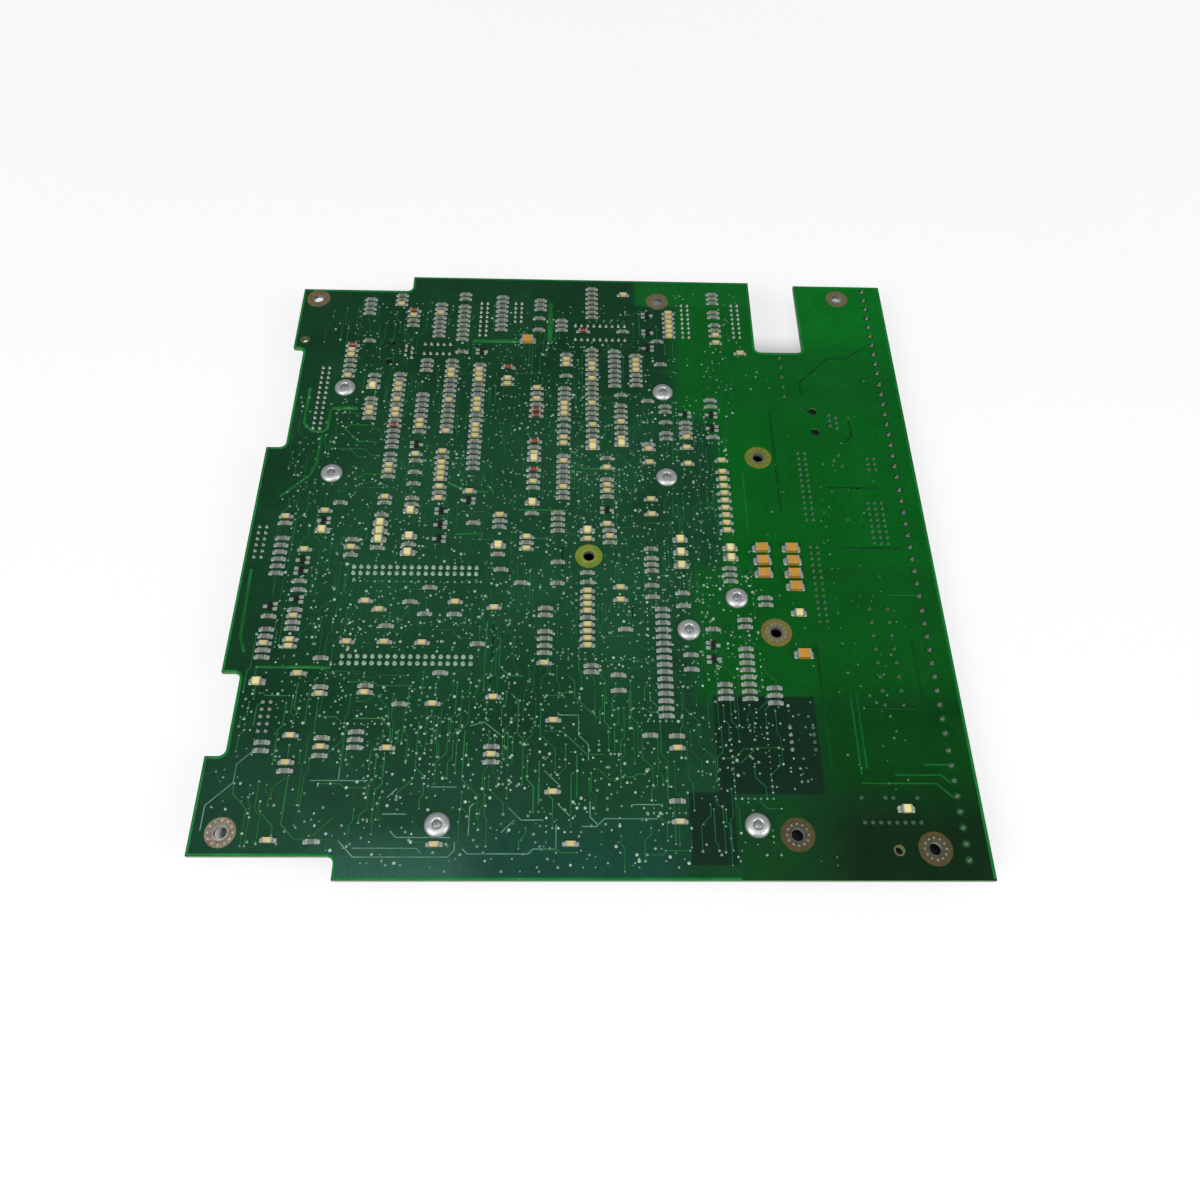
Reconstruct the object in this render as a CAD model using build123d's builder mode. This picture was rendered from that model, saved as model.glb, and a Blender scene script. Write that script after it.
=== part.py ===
from build123d import *
import os

# Drive control board, lying with its solder side up.
# Frame: +Z up, X and Y at the middle of the board's outline, Z = 0 on the surface it rests on.
# All sizes are in millimetres.

# --- Board: a fibreglass plate with stepped edges and one deep slot ----------------------------
under_height = 12.0  # clear height from the resting surface to the board's underside
board_thickness = 1.6
board_top = under_height + board_thickness

right_x = 123.3
left_x = -123.3
far_y = 126.5
near_y = -126.5
far_right_y = 125.2  # the corner right of the slot stands back a little
far_left_x = -75.4  # the far edge steps in here
far_left_y = 118.3
far_tab_x = left_x + 2.9  # left edge of the far left tab
far_tab_near_y = 85.4
upper_recess_x = left_x + 7.1
upper_recess_near_y = 35.2
lower_recess_far_y = -58.4
lower_recess_x = left_x + 6.4
lower_recess_near_y = -87.6
near_left_y = -119.3
near_left_x = -78.7
slot_left_x = 67.0
slot_right_x = 86.4
slot_near_y = 86.9
inner_corner_radius = 2.4

# --- Holes -------------------------------------------------------------------------------------
mount_hole_radius = 2.1
mount_line_x = 63.5  # three of the screw holes share this line
left_mount_x = left_x + 9.3  # two more share this one
mount_holes = (
    (left_mount_x, 113.0),
    (left_mount_x, -112.1),
    (27.6, 114.6),
    (104.4, 117.9),
    (mount_line_x, 33.1),
    (mount_line_x, -42.0),
    (mount_line_x, -112.5),
    (-1.3, -11.8),
    (106.0, -116.8),
)
small_holes = ((left_x + 6.9, 89.8, 1.2), (right_x - 28.7, -117.3, 1.3))  # x, y, radius

# --- Rivets and the sheet metal that they hold under the board ---------------------------------
rivet_shank_radius = 2.0
rivet_hole_clearance = 0.06
rivet_hole_radius = rivet_shank_radius + rivet_hole_clearance
rivet_head_radius = 4.05
rivet_head_height = 1.5
rivet_crown_radius = 2.2  # the flat top of the head
rail_far_y = 64.7
rail_near_y = 23.2
left_rail_x = left_x + 26.1
right_rail_x = 28.1
front_rivet_y = -109.6
front_left_x = -48.2
front_right_x = 51.2
corner_rivet_far = (50.7, -28.6)
corner_rivet_near = (33.2, -41.3)

sheet = 1.5  # thickness of the folded sheet
bend_radius = 0.8  # inside radius of its folds
rail_flange = 12.0  # width of the riveted flange
rail_foot = 8.0  # width of the flange that the board stands on
rail_overhang = 9.0  # from the end rivets to the ends of the sheet
bracket_overhang = 6.0
bracket_width = 9.0
bracket_leg_length = 8.0

# --- Screw terminals along the right edge ------------------------------------------------------
terminal_pitch = 5.08
terminal_pole_counts = (10, 10, 10, 10, 8)
terminal_gap = 0.9  # between neighbouring blocks
terminal_first_y = 122.1
terminal_pin_x = right_x - 7.5
terminal_back = 4.4  # from the pin row to the back of the housing
terminal_front = 6.8  # from the pin row to the wire side
terminal_end_wall = 0.2  # what the housing has beyond its poles at each end
terminal_step = 3.4  # height of the chamfer above the wire side
terminal_entry_width = 3.6
terminal_entry_height = 3.8
terminal_entry_depth = 5.5
terminal_entry_level = 5.6  # middle of the wire entries under the board

# --- Pin headers and sockets -------------------------------------------------------------------
pin_pitch = 2.54
header_base = 2.5  # height of the plastic strip
socket_height = 8.5

# name, middle x, middle y, columns along x, rows along y
pin_headers = (
    ("ribbon_header_left", left_x + 17.5, 59.7, 2, 13),
    ("ribbon_header_upper", 80.4, 20.2, 2, 13),
    ("ribbon_header_lower", 80.5, -22.2, 2, 13),
    ("panel_header_left", -44.7, 102.8, 2, 8),
    ("panel_header_middle", 38.9, 103.5, 2, 8),
    ("panel_header_right", 60.0, 103.9, 2, 8),
    ("service_header_far", -30.5, 106.9, 2, 5),
    ("service_header_near", left_x + 16.6, -74.0, 2, 5),
    ("encoder_header", left_x + 4.6, -7.2, 2, 6),
    ("jumper_header", 105.6, 3.8, 3, 8),
    ("supply_jumper", 107.0, 30.8, 2, 3),
)
option_sockets = (
    ("option_socket_far", -62.7, -18.4, 18, 2),
    ("option_socket_near", -62.7, -53.4, 18, 2),
)

# --- Other parts on the underside --------------------------------------------------------------
power_pin_x = 76.7
power_middle_y = 73.8
power_poles = 5
power_depth = 8.4
power_height = 9.0
power_wall = 1.2

jack_pegs = ((-81.4, 84.3), (87.2, 51.2))  # middle between the two pegs of each jack
jack_peg_spacing = 10.16
jack_peg_hole_radius = 1.65
jack_width = 13.2
jack_height = 11.4
jack_front = 7.7  # from the pegs to the mouth
jack_back = 10.3
jack_mouth_width = 10.0
jack_mouth_height = 7.2
jack_mouth_depth = 12.0
jack_latch_width = 4.4
jack_latch_height = 2.0

dip_row_spacing = 7.62
dip_body_width = 6.4
dip_body_height = 3.4
dip_standoff = 0.5
dip_leg_width = 1.2
dip_leg_thickness = 0.3
dip_chips = (("driver_chip", 3.4, 96.1, 9, 0), ("opto_coupler", 68.5, -80.7, 4, 90))

relay_middle = (-62.6, 85.9)
relay_size = (14.2, 9.2, 5.4)

converter_middle = (94.0, -104.5)
converter_size = (21.0, 11.0, 9.5)

capacitor_x = 100.5
capacitor_first_y = -32.4
capacitor_count = 8
capacitor_pitch = 5.2
capacitor_size = (9.0, 4.3, 9.2)

trimmer_middle = (94.0, 32.2)
trimmer_size = (7.2, 7.2, 5.0)

# name, middle x, middle y, size along x, size along y, height
flat_chips = (
    ("main_processor", -66.0, -86.0, 24.0, 24.0, 3.2),
    ("gate_array", 44.0, -86.0, 20.0, 20.0, 3.0),
    ("program_memory", -20.0, -72.0, 11.4, 14.0, 2.8),
    ("data_memory", -20.0, -94.0, 11.4, 14.0, 2.8),
    ("clock_crystal", -36.0, -84.0, 4.6, 11.0, 3.5),
    ("voltage_regulator", 66.0, 4.0, 10.2, 9.0, 4.4),
)
small_chip_size = (10.0, 4.0, 1.7)
small_chip_columns = (-84.0, -64.0, -44.0, -22.0, 4.0)
small_chip_rows = (66.0, 44.0, 22.0, 2.0)
small_chip_places = tuple((x, y) for x in small_chip_columns for y in small_chip_rows)

# --- Surface-mounted parts on the solder side --------------------------------------------------
# kind: name of the group, size along x, size along y, height
smd_kinds = {
    "r": ("chip_resistors", 3.2, 1.6, 0.6),
    "c": ("ceramic_capacitors", 3.2, 1.6, 1.1),
    "k": ("tall_capacitors", 3.2, 2.5, 1.6),
    "o": ("film_capacitors", 4.5, 3.3, 2.0),
    "d": ("glass_diodes", 3.4, 1.5, 1.3),
    "t": ("transistors", 1.4, 2.9, 1.0),
    "T": ("transistors_turned", 1.4, 2.9, 1.0),
}

# x, y of the first place, step towards the near edge, one letter for each part
smd_columns = (
    (-111.2, 3.7, 2.9, "cr"),
    (-111.2, -5.7, 2.9, "rrrrrr"),
    (-111.1, -33.4, 3.9, "Tr"),
    (-111.0, -42.4, 2.62, "rrcrr"),
    (-106.0, -83.0, 2.8, "rr"),
    (-102.6, -10.3, 4.4, "cTt"),
    (-102.6, -23.3, 3.5, "rr"),
    (-102.6, -30.6, 4.1, "Tr"),
    (-102.6, -37.1, 2.45, "crr"),
    (-102.5, -46.2, 2.5, "cc"),
    (-97.4, 6.4, 4.2, "cTk"),
    (-97.4, -89.7, 2.8, "cr"),
    (-96.8, 87.2, 2.7, "dccrrrc"),
    (-92.0, 112.8, 2.6, "rrrr"),
    (-90.0, -63.6, 2.4, "rc"),
    (-87.2, -81.4, 3.0, "rcr"),
    (-86.4, 71.5, 2.9, "rrk"),
    (-86.4, 59.4, 2.4, "rrccr"),
    (-86.2, -5.9, 3.2, "rcr"),
    (-79.3, 115.4, 2.5, "rrc"),
    (-76.9, 4.9, 3.55, "rkkkr"),
    (-76.5, -79.3, 2.65, "rrr"),
    (-76.4, 12.8, 2.5, "cr"),
    (-76.3, 72.0, 2.57, "rrccrcrccrdrrrr"),
    (-76.3, 32.4, 2.57, "rrccr"),
    (-75.3, -63.0, 2.4, "rc"),
    (-73.6, 106.8, 2.7, "dcrr"),
    (-66.9, 37.2, 4.6, "tc"),
    (-66.5, 61.8, 2.62, "rrrrrccr"),
    (-66.5, 29.6, 5.3, "rrr"),
    (-66.5, 12.4, 2.8, "rrk"),
    (-66.2, 79.6, 2.55, "rrr"),
    (-66.0, -4.3, 3.45, "krk"),
    (-62.6, 110.6, 2.5, "rrcrrrrr"),
    (-56.8, 34.0, 2.55, "crcccc"),
    (-56.8, 17.7, 2.6, "crc"),
    (-56.2, 79.6, 2.56, "rrccrrrrcrrrrrc"),
    (-55.3, 6.8, 6.0, "tTT"),
    (-52.9, 116.6, 2.6, "rr"),
    (-52.9, 109.6, 2.6, "rrrrrrrr"),
    (-45.6, 15.7, 4.1, "cT"),
    (-45.0, 77.7, 2.57, "rcccrrrcccrrcccrrrrrr"),
    (-37.3, 115.3, 2.6, "rrrrrrrr"),
    (-33.9, 5.4, 2.6, "crr"),
    (-33.9, -7.8, 3.7, "kr"),
    (-33.6, 76.6, 2.9, "d.cc"),
    (-32.7, -84.1, 2.6, "rcr"),
    (-23.8, -4.0, 2.5, "crc"),
    (-22.1, 39.4, 2.75, "drck"),
    (-22.1, 26.0, 2.75, "drcr"),
    (-22.2, 11.0, 4.7, "kr"),
    (-21.8, 66.0, 2.8, "crcrdd"),
    (-21.4, 113.8, 2.5, "rrr"),
    (-21.8, 103.6, 6.3, "rr"),
    (-16.4, -33.3, 2.7, "rr"),
    (-16.4, -42.4, 2.7, "rrrr"),
    (-12.6, 6.6, 2.6, "rrrr"),
    (-12.5, 102.5, 2.6, "rrr"),
    (-12.4, -14.5, 8.7, "rr"),
    (-10.9, 66.0, 2.57, "rrrcccr"),
    (-11.0, 47.3, 2.9, "rrcc"),
    (-10.9, 32.6, 2.4, "rcrrrrcrr"),
    (-10.3, 83.8, 2.6, "rcc"),
    (-1.8, -1.0, 3.6, "kc"),
    (-1.8, -18.8, 3.9, "rr"),
    (-1.8, -26.2, 2.67, "ccccrcccc"),
    (-0.5, -55.2, 2.3, "rr"),
    (0.0, 121.0, 2.7, "rrrrrrr"),
    (0.0, 86.5, 2.54, "rrrccrcrrrrcrrr"),
    (0.2, 47.8, 2.7, "crrck"),
    (5.5, 31.8, 4.4, "rc"),
    (5.5, 21.9, 2.6, "rccr"),
    (5.4, 8.0, 6.1, "tc"),
    (6.3, -0.8, 2.6, "rcr"),
    (8.6, -58.6, 5.6, "rr"),
    (9.1, 86.0, 2.6, "rrrrrrrr"),
    (9.8, -24.7, 5.0, "cc"),
    (11.3, 57.6, 2.7, "rrrcrrck"),
    (17.7, 83.8, 2.6, "rcccrrr"),
    (21.0, -23.8, 4.6, "rr"),
    (21.1, -8.6, 4.0, "rr"),
    (21.1, -15.2, 2.55, "rr"),
    (21.7, 38.7, 2.3, "rc"),
    (21.8, 13.1, 6.7, "cc"),
    (23.0, 106.3, 9.5, "tt"),
    (24.3, -33.3, 2.66, "rrrrrrrrrrrrrrrr"),
    (27.3, -80.2, 4.1, "rc"),
    (28.7, 57.5, 2.6, "rr"),
    (28.7, 44.2, 2.6, "rr"),
    (31.7, -26.8, 5.1, "rr"),
    (31.8, -4.5, 5.5, "kkk"),
    (31.9, 107.6, 2.58, "cccccc"),
    (33.4, -50.9, 5.4, "rr"),
    (36.4, 53.6, 4.1, "Tr"),
    (36.4, 47.0, 2.35, "rrc"),
    (36.3, 37.3, 7.6, "cc"),
    (41.2, -47.2, 5.3, "tt"),
    (44.3, -61.8, 2.55, "rrr"),
    (46.8, 61.0, 3.2, "rr"),
    (46.7, 53.6, 6.6, "TT"),
    (49.1, -16.5, 2.65, "rrr"),
    (49.3, 26.1, 3.3, "ccccccccc"),
    (49.8, -8.0, 4.1, "kk"),
    (51.0, 119.0, 2.5, "rrr"),
    (51.0, 108.5, 2.6, "rr"),
    (51.0, 101.4, 2.9, "rrc"),
    (52.4, -48.5, 2.63, "rrrrrrrr"),
    (52.9, -37.3, 2.7, "rr"),
    (60.8, -28.5, 2.7, "rr"),
    (60.8, -63.0, 2.7, "rrr"),
    (61.2, -8.0, 5.3, "ooo"),
    (72.0, -8.0, 5.3, "oooo"),
)
# single parts: kind, then x and y of each
smd_singles = (
    ("r", (-90.4, 89.8), (-52.7, 84.5), (-10.4, 72.6), (12.8, 97.0), (26.8, 91.8), (27.7, 79.4)),
    ("r", (11.4, 63.0), (22.0, 60.2), (28.7, 49.6), (46.8, 42.6), (-92.4, 10.0), (-43.4, 1.8)),
    ("r", (-32.5, -17.8), (-25.2, -23.2), (41.6, -41.0), (11.3, -41.3), (-57.0, -25.4), (-63.5, -31.2)),
    ("r", (-58.0, -35.9), (-47.8, -36.0), (-70.7, -40.7), (-39.2, -47.3), (-91.3, -53.0), (-51.0, -58.2)),
    ("r", (-63.5, -69.5), (18.6, -80.0), (26.5, -101.9), (-86.0, -114.9)),
    ("c", (13.3, 117.8), (51.0, 91.5), (60.6, 86.0), (21.7, 30.1), (49.3, 31.4), (-16.4, -54.3)),
    ("c", (-78.8, -31.0), (-73.8, -34.3), (-83.3, -46.8), (-70.7, -46.8), (-98.0, -58.7), (-47.8, -31.1)),
    ("c", (-34.2, -33.2), (-58.0, -47.0), (-52.7, -69.3), (-66.0, -84.7), (-99.2, -114.5), (-33.0, -66.8)),
    ("c", (-13.0, -74.9), (-12.8, -99.0), (-48.7, -115.7), (-7.0, -115.5), (27.0, -108.5), (-97.3, -80.6)),
    ("k", (-111.0, -61.8), (72.1, -34.5), (98.8, -104.3)),
    ("o", (-26.2, 91.3), (72.1, -50.5)),
    ("d", (-3.6, 96.8),),
    ("t", (-44.6, 84.9)),
    ("T", (22.9, 88.0)),
)


def grid(middle_x, middle_y, columns, rows, pitch_x=pin_pitch, pitch_y=pin_pitch):
    """Return the points of a rectangular grid around its middle."""
    return [
        (middle_x + (column - (columns - 1) / 2) * pitch_x, middle_y + (row - (rows - 1) / 2) * pitch_y)
        for column in range(columns)
        for row in range(rows)
    ]


def terminal_blocks():
    """Return, for each terminal block, its first pin's y and its number of poles."""
    blocks = []
    y = terminal_first_y
    for poles in terminal_pole_counts:
        blocks.append((y, poles))
        y -= poles * terminal_pitch + terminal_gap
    return blocks


def dip_pins(middle_x, middle_y, pins_a_row, turn):
    """Return the pins of a dual in-line chip; a turn of 90 lays it along y."""
    if turn:
        return grid(middle_x, middle_y, 2, pins_a_row, pitch_x=dip_row_spacing)
    return grid(middle_x, middle_y, pins_a_row, 2, pitch_y=dip_row_spacing)


def export(piece, name):
    """Label a finished piece and write it as its own STEP file."""
    piece.part.label = name
    export_step(piece.part, f"parts/{name}.step")


os.makedirs("parts", exist_ok=True)

rail_rivets = [(x, y) for x in (left_rail_x, right_rail_x) for y in (rail_near_y, rail_far_y)]
front_rivets = [(front_left_x, front_rivet_y), (front_right_x, front_rivet_y)]
corner_rivets = [corner_rivet_near, corner_rivet_far]
all_rivets = rail_rivets + front_rivets + corner_rivets

# --- circuit_board -----------------------------------------------------------------------------
inner_corners = [
    (far_left_x, far_left_y),
    (upper_recess_x, far_tab_near_y),
    (upper_recess_x, upper_recess_near_y),
    (lower_recess_x, lower_recess_far_y),
    (lower_recess_x, lower_recess_near_y),
    (near_left_x, near_left_y),
    (slot_left_x, slot_near_y),
    (slot_right_x, slot_near_y),
]


def corners_at(vertices, points):
    """Pick the vertices that lie on the given points."""
    return [v for v in vertices if any(abs(v.X - x) + abs(v.Y - y) < 0.01 for x, y in points)]


with BuildPart() as board:
    with BuildSketch(Plane.XY.offset(under_height)) as outline:
        with BuildLine():
            Polyline(
                (right_x, near_y),
                (right_x, far_right_y),
                (slot_right_x, far_right_y),
                (slot_right_x, slot_near_y),
                (slot_left_x, slot_near_y),
                (slot_left_x, far_y),
                (far_left_x, far_y),
                (far_left_x, far_left_y),
                (far_tab_x, far_left_y),
                (far_tab_x, far_tab_near_y),
                (upper_recess_x, far_tab_near_y),
                (upper_recess_x, upper_recess_near_y),
                (left_x, upper_recess_near_y),
                (left_x, lower_recess_far_y),
                (lower_recess_x, lower_recess_far_y),
                (lower_recess_x, lower_recess_near_y),
                (left_x, lower_recess_near_y),
                (left_x, near_left_y),
                (near_left_x, near_left_y),
                (near_left_x, near_y),
                close=True,
            )
        make_face()
        fillet(corners_at(outline.vertices(), inner_corners), inner_corner_radius)
        with Locations(*mount_holes):
            Circle(mount_hole_radius, mode=Mode.SUBTRACT)
        with Locations(*all_rivets):
            Circle(rivet_hole_radius, mode=Mode.SUBTRACT)
        for hole_x, hole_y, hole_radius in small_holes:
            with Locations((hole_x, hole_y)):
                Circle(hole_radius, mode=Mode.SUBTRACT)
        for peg_x, peg_y in jack_pegs:
            with Locations((peg_x, peg_y)):
                with GridLocations(0, jack_peg_spacing, 1, 2):
                    Circle(jack_peg_hole_radius, mode=Mode.SUBTRACT)
    extrude(amount=board_thickness)
export(board, "circuit_board")

# --- rivets: a sloping head on the solder side, the shank through the board down to the sheet --------
shank_end = -board_thickness
with BuildPart() as rivets:
    with BuildSketch(Plane.XZ) as rivet_section:
        with BuildLine():
            Polyline(
                (rivet_crown_radius, rivet_head_height),
                (0, rivet_head_height),
                (0, shank_end),
                (rivet_shank_radius, shank_end),
                (rivet_shank_radius, 0),
                (rivet_head_radius, 0),
                close=True,
            )
        make_face()
    one_rivet = revolve(axis=Axis.Z, mode=Mode.PRIVATE)
    with Locations(*[(x, y, board_top) for x, y in all_rivets]):
        add(one_rivet)
export(rivets, "rivets")


# --- rails: a folded Z of sheet, riveted flange under the board, foot on the resting surface -----
def folded_rail(name, length, plane, facing):
    """Fold a Z-shaped rail.

    plane: the section's plane, its origin at one end on the rivet line, its y upwards and its
        normal along the rail.
    facing: 1 or -1, the side of the rivet line that the foot turns to.
    """
    web = rail_flange / 2
    foot_end = web - sheet + rail_foot
    top = under_height
    outside = [(web, top), (web - sheet, 0)]
    inside = [(web - sheet, top - sheet), (web, sheet)]
    with BuildPart() as rail:
        with BuildSketch(plane) as section:
            with BuildSketch(Plane.XY, mode=Mode.PRIVATE) as folds:
                with BuildLine():
                    Polyline(
                        (-web, top),
                        (web, top),
                        (web, sheet),
                        (foot_end, sheet),
                        (foot_end, 0),
                        (web - sheet, 0),
                        (web - sheet, top - sheet),
                        (-web, top - sheet),
                        close=True,
                    )
                make_face()
                fillet(corners_at(folds.vertices(), outside), bend_radius + sheet)
                fillet(corners_at(folds.vertices(), inside), bend_radius)
            add(folds.sketch if facing > 0 else mirror(folds.sketch, Plane.YZ, mode=Mode.PRIVATE))
        extrude(amount=length)
    export(rail, name)


rail_length = rail_far_y - rail_near_y + 2 * rail_overhang
for rail_name, rail_x, rail_facing in (("rail_left", left_rail_x, -1), ("rail_right", right_rail_x, 1)):
    rail_plane = Plane((rail_x, rail_near_y - rail_overhang, 0), x_dir=(-1, 0, 0), z_dir=(0, 1, 0))
    folded_rail(rail_name, rail_length, rail_plane, rail_facing)
front_length = front_right_x - front_left_x + 2 * rail_overhang
front_plane = Plane((front_left_x - rail_overhang, front_rivet_y, 0), x_dir=(0, 1, 0), z_dir=(1, 0, 0))
folded_rail("front_rail", front_length, front_plane, 1)

# --- corner_bracket: a strip on the slanting pair of rivets, one end folded down -------------------
near_rivet = Vector(*corner_rivet_near, 0)
far_rivet = Vector(*corner_rivet_far, 0)
strip_direction = (far_rivet - near_rivet).normalized()
strip_length = (far_rivet - near_rivet).length + 2 * bracket_overhang
strip_start = near_rivet - strip_direction * bracket_overhang
bracket_plane = Plane(strip_start, x_dir=strip_direction, z_dir=strip_direction.cross(Vector(0, 0, 1)))
bracket_outer_fold = (0, under_height)
bracket_inner_fold = (sheet, under_height - sheet)
with BuildPart() as bracket:
    with BuildSketch(bracket_plane) as strip:
        with BuildLine():
            Polyline(
                (0, under_height - bracket_leg_length),
                (0, under_height),
                (strip_length, under_height),
                (strip_length, under_height - sheet),
                (sheet, under_height - sheet),
                (sheet, under_height - bracket_leg_length),
                close=True,
            )
        make_face()
        fillet(corners_at(strip.vertices(), [bracket_outer_fold]), bend_radius + sheet)
        fillet(corners_at(strip.vertices(), [bracket_inner_fold]), bend_radius)
    extrude(amount=bracket_width / 2, both=True)
export(bracket, "corner_bracket")

# --- terminal blocks: a housing with a chamfered back and one square wire entry for each pole ------
for number, (first_y, poles) in enumerate(terminal_blocks(), start=1):
    housing_far_y = first_y + terminal_pitch / 2 + terminal_end_wall
    housing_length = poles * terminal_pitch + 2 * terminal_end_wall
    with BuildPart() as block:
        with BuildSketch(Plane((terminal_pin_x, housing_far_y, 0), x_dir=(1, 0, 0), z_dir=(0, -1, 0))):
            with BuildLine():
                Polyline(
                    (-terminal_back, under_height),
                    (-terminal_back, terminal_step),
                    (-terminal_back + terminal_step / 2, 0),
                    (terminal_front - terminal_step / 2, 0),
                    (terminal_front, terminal_step / 2),
                    (terminal_front, under_height),
                    close=True,
                )
            make_face()
        extrude(amount=housing_length)
        front_x = terminal_pin_x + terminal_front
        entry_plane = Plane((front_x, 0, under_height), x_dir=(0, 1, 0), z_dir=(1, 0, 0))
        entry_ys = [first_y - pole * terminal_pitch for pole in range(poles)]
        with BuildSketch(entry_plane):
            with Locations(*[(y, -terminal_entry_level) for y in entry_ys]):
                Rectangle(terminal_entry_width, terminal_entry_height)
        extrude(amount=-terminal_entry_depth, mode=Mode.SUBTRACT)
    export(block, f"terminal_block_{number}")

# --- pin headers: low plastic strips ---------------------------------------------------------------
for header_name, header_x, header_y, columns, rows in pin_headers:
    with BuildPart() as strip:
        with Locations((header_x, header_y, under_height)):
            Box(
                columns * pin_pitch,
                rows * pin_pitch,
                header_base,
                align=(Align.CENTER, Align.CENTER, Align.MAX),
            )
    export(strip, header_name)

# --- option sockets: taller strips ------------------------------------------------------------------
for socket_name, socket_x, socket_y, columns, rows in option_sockets:
    with BuildPart() as socket:
        with Locations((socket_x, socket_y, under_height)):
            Box(
                columns * pin_pitch,
                rows * pin_pitch,
                socket_height,
                align=(Align.CENTER, Align.CENTER, Align.MAX),
            )
    export(socket, socket_name)

# --- power_header: a shrouded row of wider contacts, its mouth towards the resting surface ---------
power_pins = grid(power_pin_x, power_middle_y, 1, power_poles, pitch_y=terminal_pitch)
power_length = power_poles * terminal_pitch + power_wall
with BuildPart() as power_header:
    with Locations((power_pin_x, power_middle_y, under_height)):
        Box(power_depth, power_length, power_height, align=(Align.CENTER, Align.CENTER, Align.MAX))
    with Locations(*[(x, y, under_height - power_height) for x, y in power_pins]):
        Box(
            power_depth - 2 * power_wall,
            terminal_pitch - power_wall,
            power_height - 2 * power_wall,
            align=(Align.CENTER, Align.CENTER, Align.MIN),
            mode=Mode.SUBTRACT,
        )
export(power_header, "power_header")

# --- modular jacks: a housing with a stepped mouth under its two peg holes --------------------------
jack_names = ("keypad_jack", "network_jack")
for jack_name, (peg_x, peg_y) in zip(jack_names, jack_pegs):
    mouth_plane = Plane((peg_x - jack_front, peg_y, under_height), x_dir=(0, -1, 0), z_dir=(-1, 0, 0))
    mouth_bottom = jack_height - (jack_height - jack_mouth_height - jack_latch_height) / 2
    with BuildPart() as jack:
        with BuildSketch(mouth_plane):
            with Locations((0, -jack_height / 2)):
                Rectangle(jack_width, jack_height)
        extrude(amount=-(jack_front + jack_back))
        with BuildSketch(mouth_plane):
            with Locations((0, -mouth_bottom)):
                Rectangle(jack_mouth_width, jack_mouth_height, align=(Align.CENTER, Align.MIN))
            with Locations((0, -mouth_bottom + jack_mouth_height)):
                Rectangle(jack_latch_width, jack_latch_height, align=(Align.CENTER, Align.MIN))
        extrude(amount=-jack_mouth_depth, mode=Mode.SUBTRACT)
    export(jack, jack_name)

# --- dual in-line chips: a body held off the board by its flat legs --------------------------------
for chip_name, chip_x, chip_y, pins_a_row, turn in dip_chips:
    body_length = pins_a_row * pin_pitch
    body_size = (dip_body_width, body_length) if turn else (body_length, dip_body_width)
    leg_size = (dip_leg_thickness, dip_leg_width) if turn else (dip_leg_width, dip_leg_thickness)
    shoulder = (dip_row_spacing - dip_body_width) / 2 + dip_leg_thickness / 2
    shoulder_size = (shoulder, dip_leg_width) if turn else (dip_leg_width, shoulder)
    leg_height = dip_standoff + dip_body_height / 2
    with BuildPart() as chip:
        with Locations((chip_x, chip_y, under_height - dip_standoff)):
            Box(*body_size, dip_body_height, align=(Align.CENTER, Align.CENTER, Align.MAX))
        for pin_x, pin_y in dip_pins(chip_x, chip_y, pins_a_row, turn):
            inward = (1 if (pin_x if turn else pin_y) < (chip_x if turn else chip_y) else -1)
            reach = inward * (shoulder - dip_leg_thickness) / 2
            with Locations((pin_x, pin_y, under_height)):
                Box(*leg_size, leg_height, align=(Align.CENTER, Align.CENTER, Align.MAX))
            shoulder_place = (pin_x + reach, pin_y) if turn else (pin_x, pin_y + reach)
            with Locations((*shoulder_place, under_height - leg_height)):
                Box(*shoulder_size, dip_leg_thickness, align=(Align.CENTER, Align.CENTER, Align.MAX))
    export(chip, chip_name)

# --- plain blocks seated on the underside ----------------------------------------------------------
blocks = [
    ("signal_relay", [relay_middle], relay_size),
    ("isolating_converter", [converter_middle], converter_size),
    ("trimmer", [trimmer_middle], trimmer_size),
]
capacitor_ys = [capacitor_first_y - step * capacitor_pitch for step in range(capacitor_count)]
capacitor_places = [(capacitor_x, y) for y in capacitor_ys]
blocks.append(("filter_capacitors", capacitor_places, capacitor_size))
blocks += [(name, [(x, y)], size) for name, x, y, *size in flat_chips]
blocks.append(("logic_chips", small_chip_places, small_chip_size))
for block_name, places, size in blocks:
    with BuildPart() as body:
        with Locations(*[(x, y, under_height) for x, y in places]):
            Box(*size, align=(Align.CENTER, Align.CENTER, Align.MAX))
    export(body, block_name)

# --- surface-mounted parts: each kind is one group of separate solids on the solder side ------------
smd_places = {kind: [] for kind in smd_kinds}
for column_x, column_y, step, letters in smd_columns:
    for place, letter in enumerate(letters):
        if letter in smd_places:
            smd_places[letter].append((column_x, column_y - place * step))
for letter, *points in smd_singles:
    smd_places[letter] += points

for letter, (group_name, length, width, height) in smd_kinds.items():
    with BuildPart() as group:
        with BuildSketch(Plane.XY.offset(board_top)):
            with Locations(*smd_places[letter]):
                Rectangle(length, width)
        extrude(amount=height)
    export(group, group_name)
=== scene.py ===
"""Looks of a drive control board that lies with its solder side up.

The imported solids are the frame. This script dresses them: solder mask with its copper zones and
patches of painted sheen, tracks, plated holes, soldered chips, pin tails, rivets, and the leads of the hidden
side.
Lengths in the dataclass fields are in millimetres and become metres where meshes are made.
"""

from __future__ import annotations

import logging
import math
import random
from collections.abc import Iterable, Sequence
from dataclasses import dataclass, field, replace
from enum import Enum
from functools import reduce

import bmesh
import bpy
from mathutils import Matrix, Vector

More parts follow.
